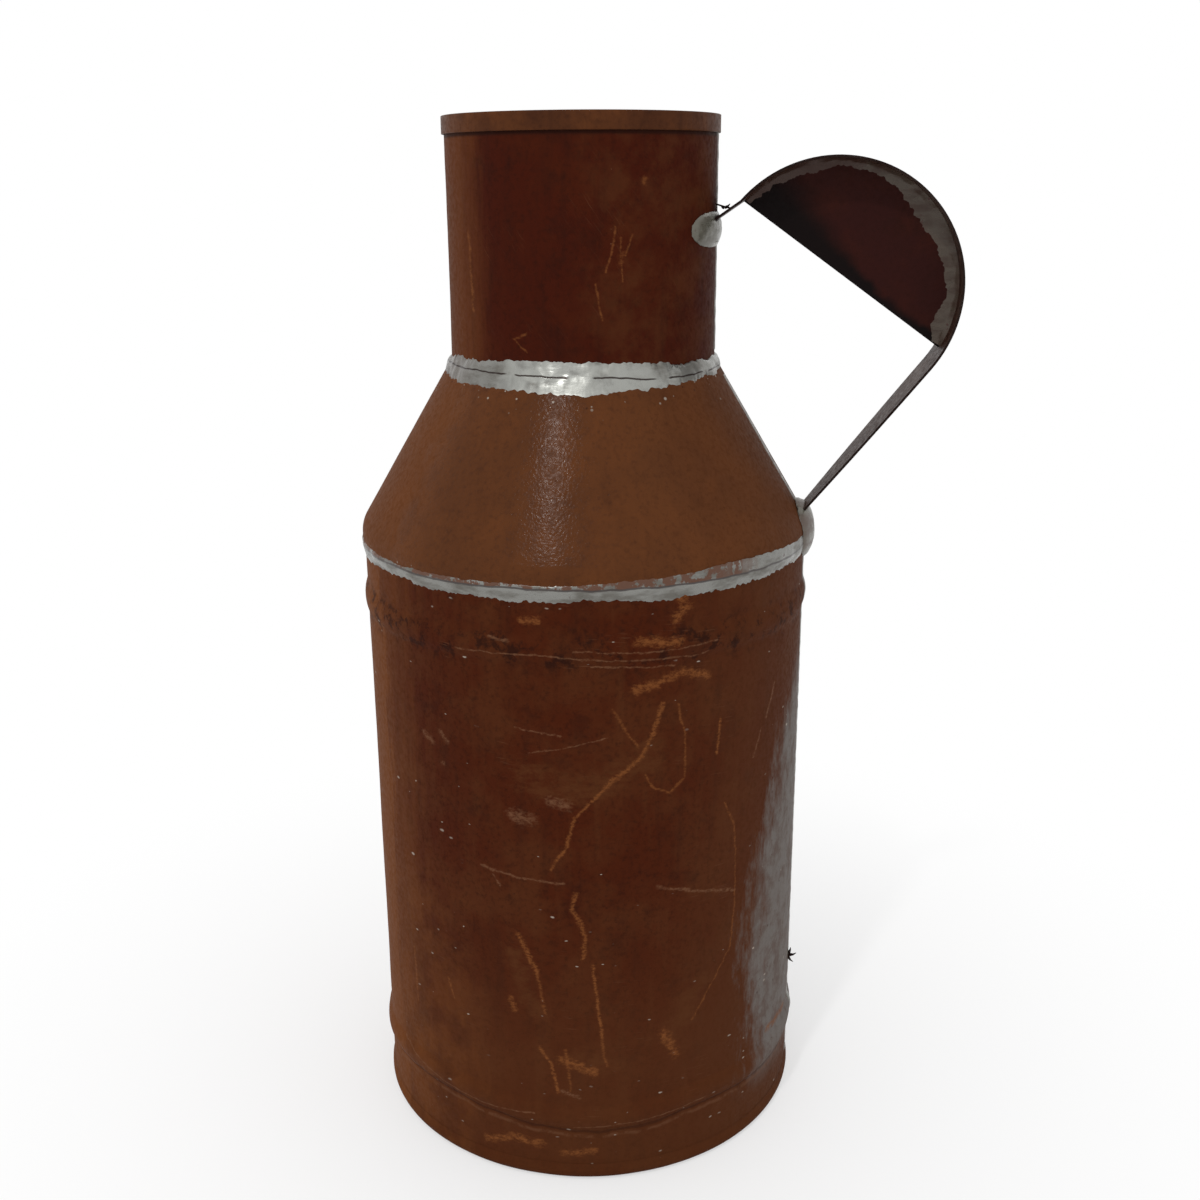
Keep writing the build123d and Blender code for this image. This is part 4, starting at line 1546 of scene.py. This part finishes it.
class CAN_OT_handle(bpy.types.Operator):
    """Coat the strap, its web and the solder inside the foot, and make the whisker"""

    bl_idname = "can.handle"
    bl_label = "Handle"

    def execute(self, context):
        for node, name in (
            ("handle_strap", "Strap Rust"),
            ("handle_web", "Web Rust"),
            ("base_solder", "Worn Solder"),
        ):
            mesh = frame["nodes"][node].data
            mesh.materials.clear()
            mesh.materials.append(coated(name))

        low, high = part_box("solder_whisker")
        splash = Vector((high.x - 2.4 * MM, (low.y + high.y) / 2, low.z + 0.4 * MM))
        lump = burr_mesh(splash, [(2.4, 0.0, 1.6), (-1.4, 0.3, 0.5)], 0.8)
        solder_piece("whisker", joined(merged("solder_whisker"), lump), "solder_whisker", "Burr Rust")
        return {"FINISHED"}


class CAN_OT_web_solder(bpy.types.Operator):
    """Make the fillets of solder between strap and web"""

    bl_idname = "can.web_solder"
    bl_label = "Web Solder"

    def execute(self, context):
        for name, side, node in (
            ("web_bead_front", -1, "web_solder_front"),
            ("web_bead_back", 1, "web_solder_back"),
        ):
            solder_piece(name, web_fillet(side), node, "Web Solder")
        return {"FINISHED"}


class CAN_OT_pads(bpy.types.Operator):
    """Make the lumps of solder that hold the handle"""

    bl_idname = "can.pads"
    bl_label = "Handle Pads"

    def execute(self, context):
        for name, node, material in (
            ("neck_pad", "handle_neck_solder", "Pad Solder"),
            ("foot_pad", "handle_foot_solder", "Foot Solder"),
        ):
            solder_piece(name, pad_mesh(node), node, material)
        return {"FINISHED"}


class CAN_OT_stage(bpy.types.Operator):
    """Set the floor, the even light, the soft lamp and the camera"""

    bl_idname = "can.stage"
    bl_label = "Studio"

    def execute(self, context):
        scene = context.scene
        studio = scene.can_studio
        scene.view_settings.view_transform = "Standard"
        scene.world = even_light(studio)
        floor = bpy.data.objects.new("floor", floor_mesh(studio))

        lamp = bpy.data.lights.new("key", "AREA")
        lamp.size = studio.lamp
        lamp.energy = studio.key
        key = bpy.data.objects.new("key", lamp)
        key.location = LAMP_AIM + LAMP_DISTANCE * direction(*LAMP_WAY)
        key.rotation_euler = (key.location - LAMP_AIM).to_track_quat("Z", "Y").to_euler()

        lens = bpy.data.cameras.new("camera")
        lens.sensor_width = SENSOR
        lens.lens = LENS
        camera = bpy.data.objects.new("camera", lens)
        look = direction(*CAMERA_WAY)
        turn = look.to_track_quat("-Z", "Y").to_matrix() @ Matrix.Rotation(CAMERA_ROLL, 3, "Z")
        camera.matrix_world = Matrix.Translation(CAMERA_PLACE) @ turn.to_4x4()

        for obj in (floor, key, camera):
            scene.collection.objects.link(obj)
        scene.camera = camera
        return {"FINISHED"}


class CAN_PT_panel(bpy.types.Panel):
    """Lists the can's sizes, colours and operators"""

    bl_idname = "CAN_PT_panel"
    bl_label = "Milk Can"
    bl_space_type = "VIEW_3D"
    bl_region_type = "UI"
    bl_category = "Milk Can"

    def draw(self, context):
        layout = self.layout
        for operator in OPERATORS:
            layout.operator(operator.bl_idname)
        for settings in (sizes(), colours(), context.scene.can_studio):
            box = layout.box()
            for name in settings.__annotations__:
                box.prop(settings, name)


OPERATORS = (
    CAN_OT_pan, CAN_OT_body, CAN_OT_shoulder, CAN_OT_neck, CAN_OT_bands, CAN_OT_seams,
    CAN_OT_handle, CAN_OT_web_solder, CAN_OT_pads, CAN_OT_stage,
)
CLASSES = (CanSizes, CanColours, StudioSettings, *OPERATORS, CAN_PT_panel)


def register():
    """Adds the classes and their settings."""
    for cls in CLASSES:
        bpy.utils.register_class(cls)
    bpy.types.Scene.can_sizes = bpy.props.PointerProperty(type=CanSizes)
    bpy.types.Scene.can_colours = bpy.props.PointerProperty(type=CanColours)
    bpy.types.Scene.can_studio = bpy.props.PointerProperty(type=StudioSettings)


def unregister():
    """Takes the settings and the classes away again."""
    del bpy.types.Scene.can_sizes
    del bpy.types.Scene.can_colours
    del bpy.types.Scene.can_studio
    for cls in reversed(CLASSES):
        bpy.utils.unregister_class(cls)


def main():
    """Makes every piece and the stage."""
    register()
    for operator in OPERATORS:
        group, name = operator.bl_idname.split(".")
        getattr(getattr(bpy.ops, group), name)()


if __name__ == "__main__":
    main()
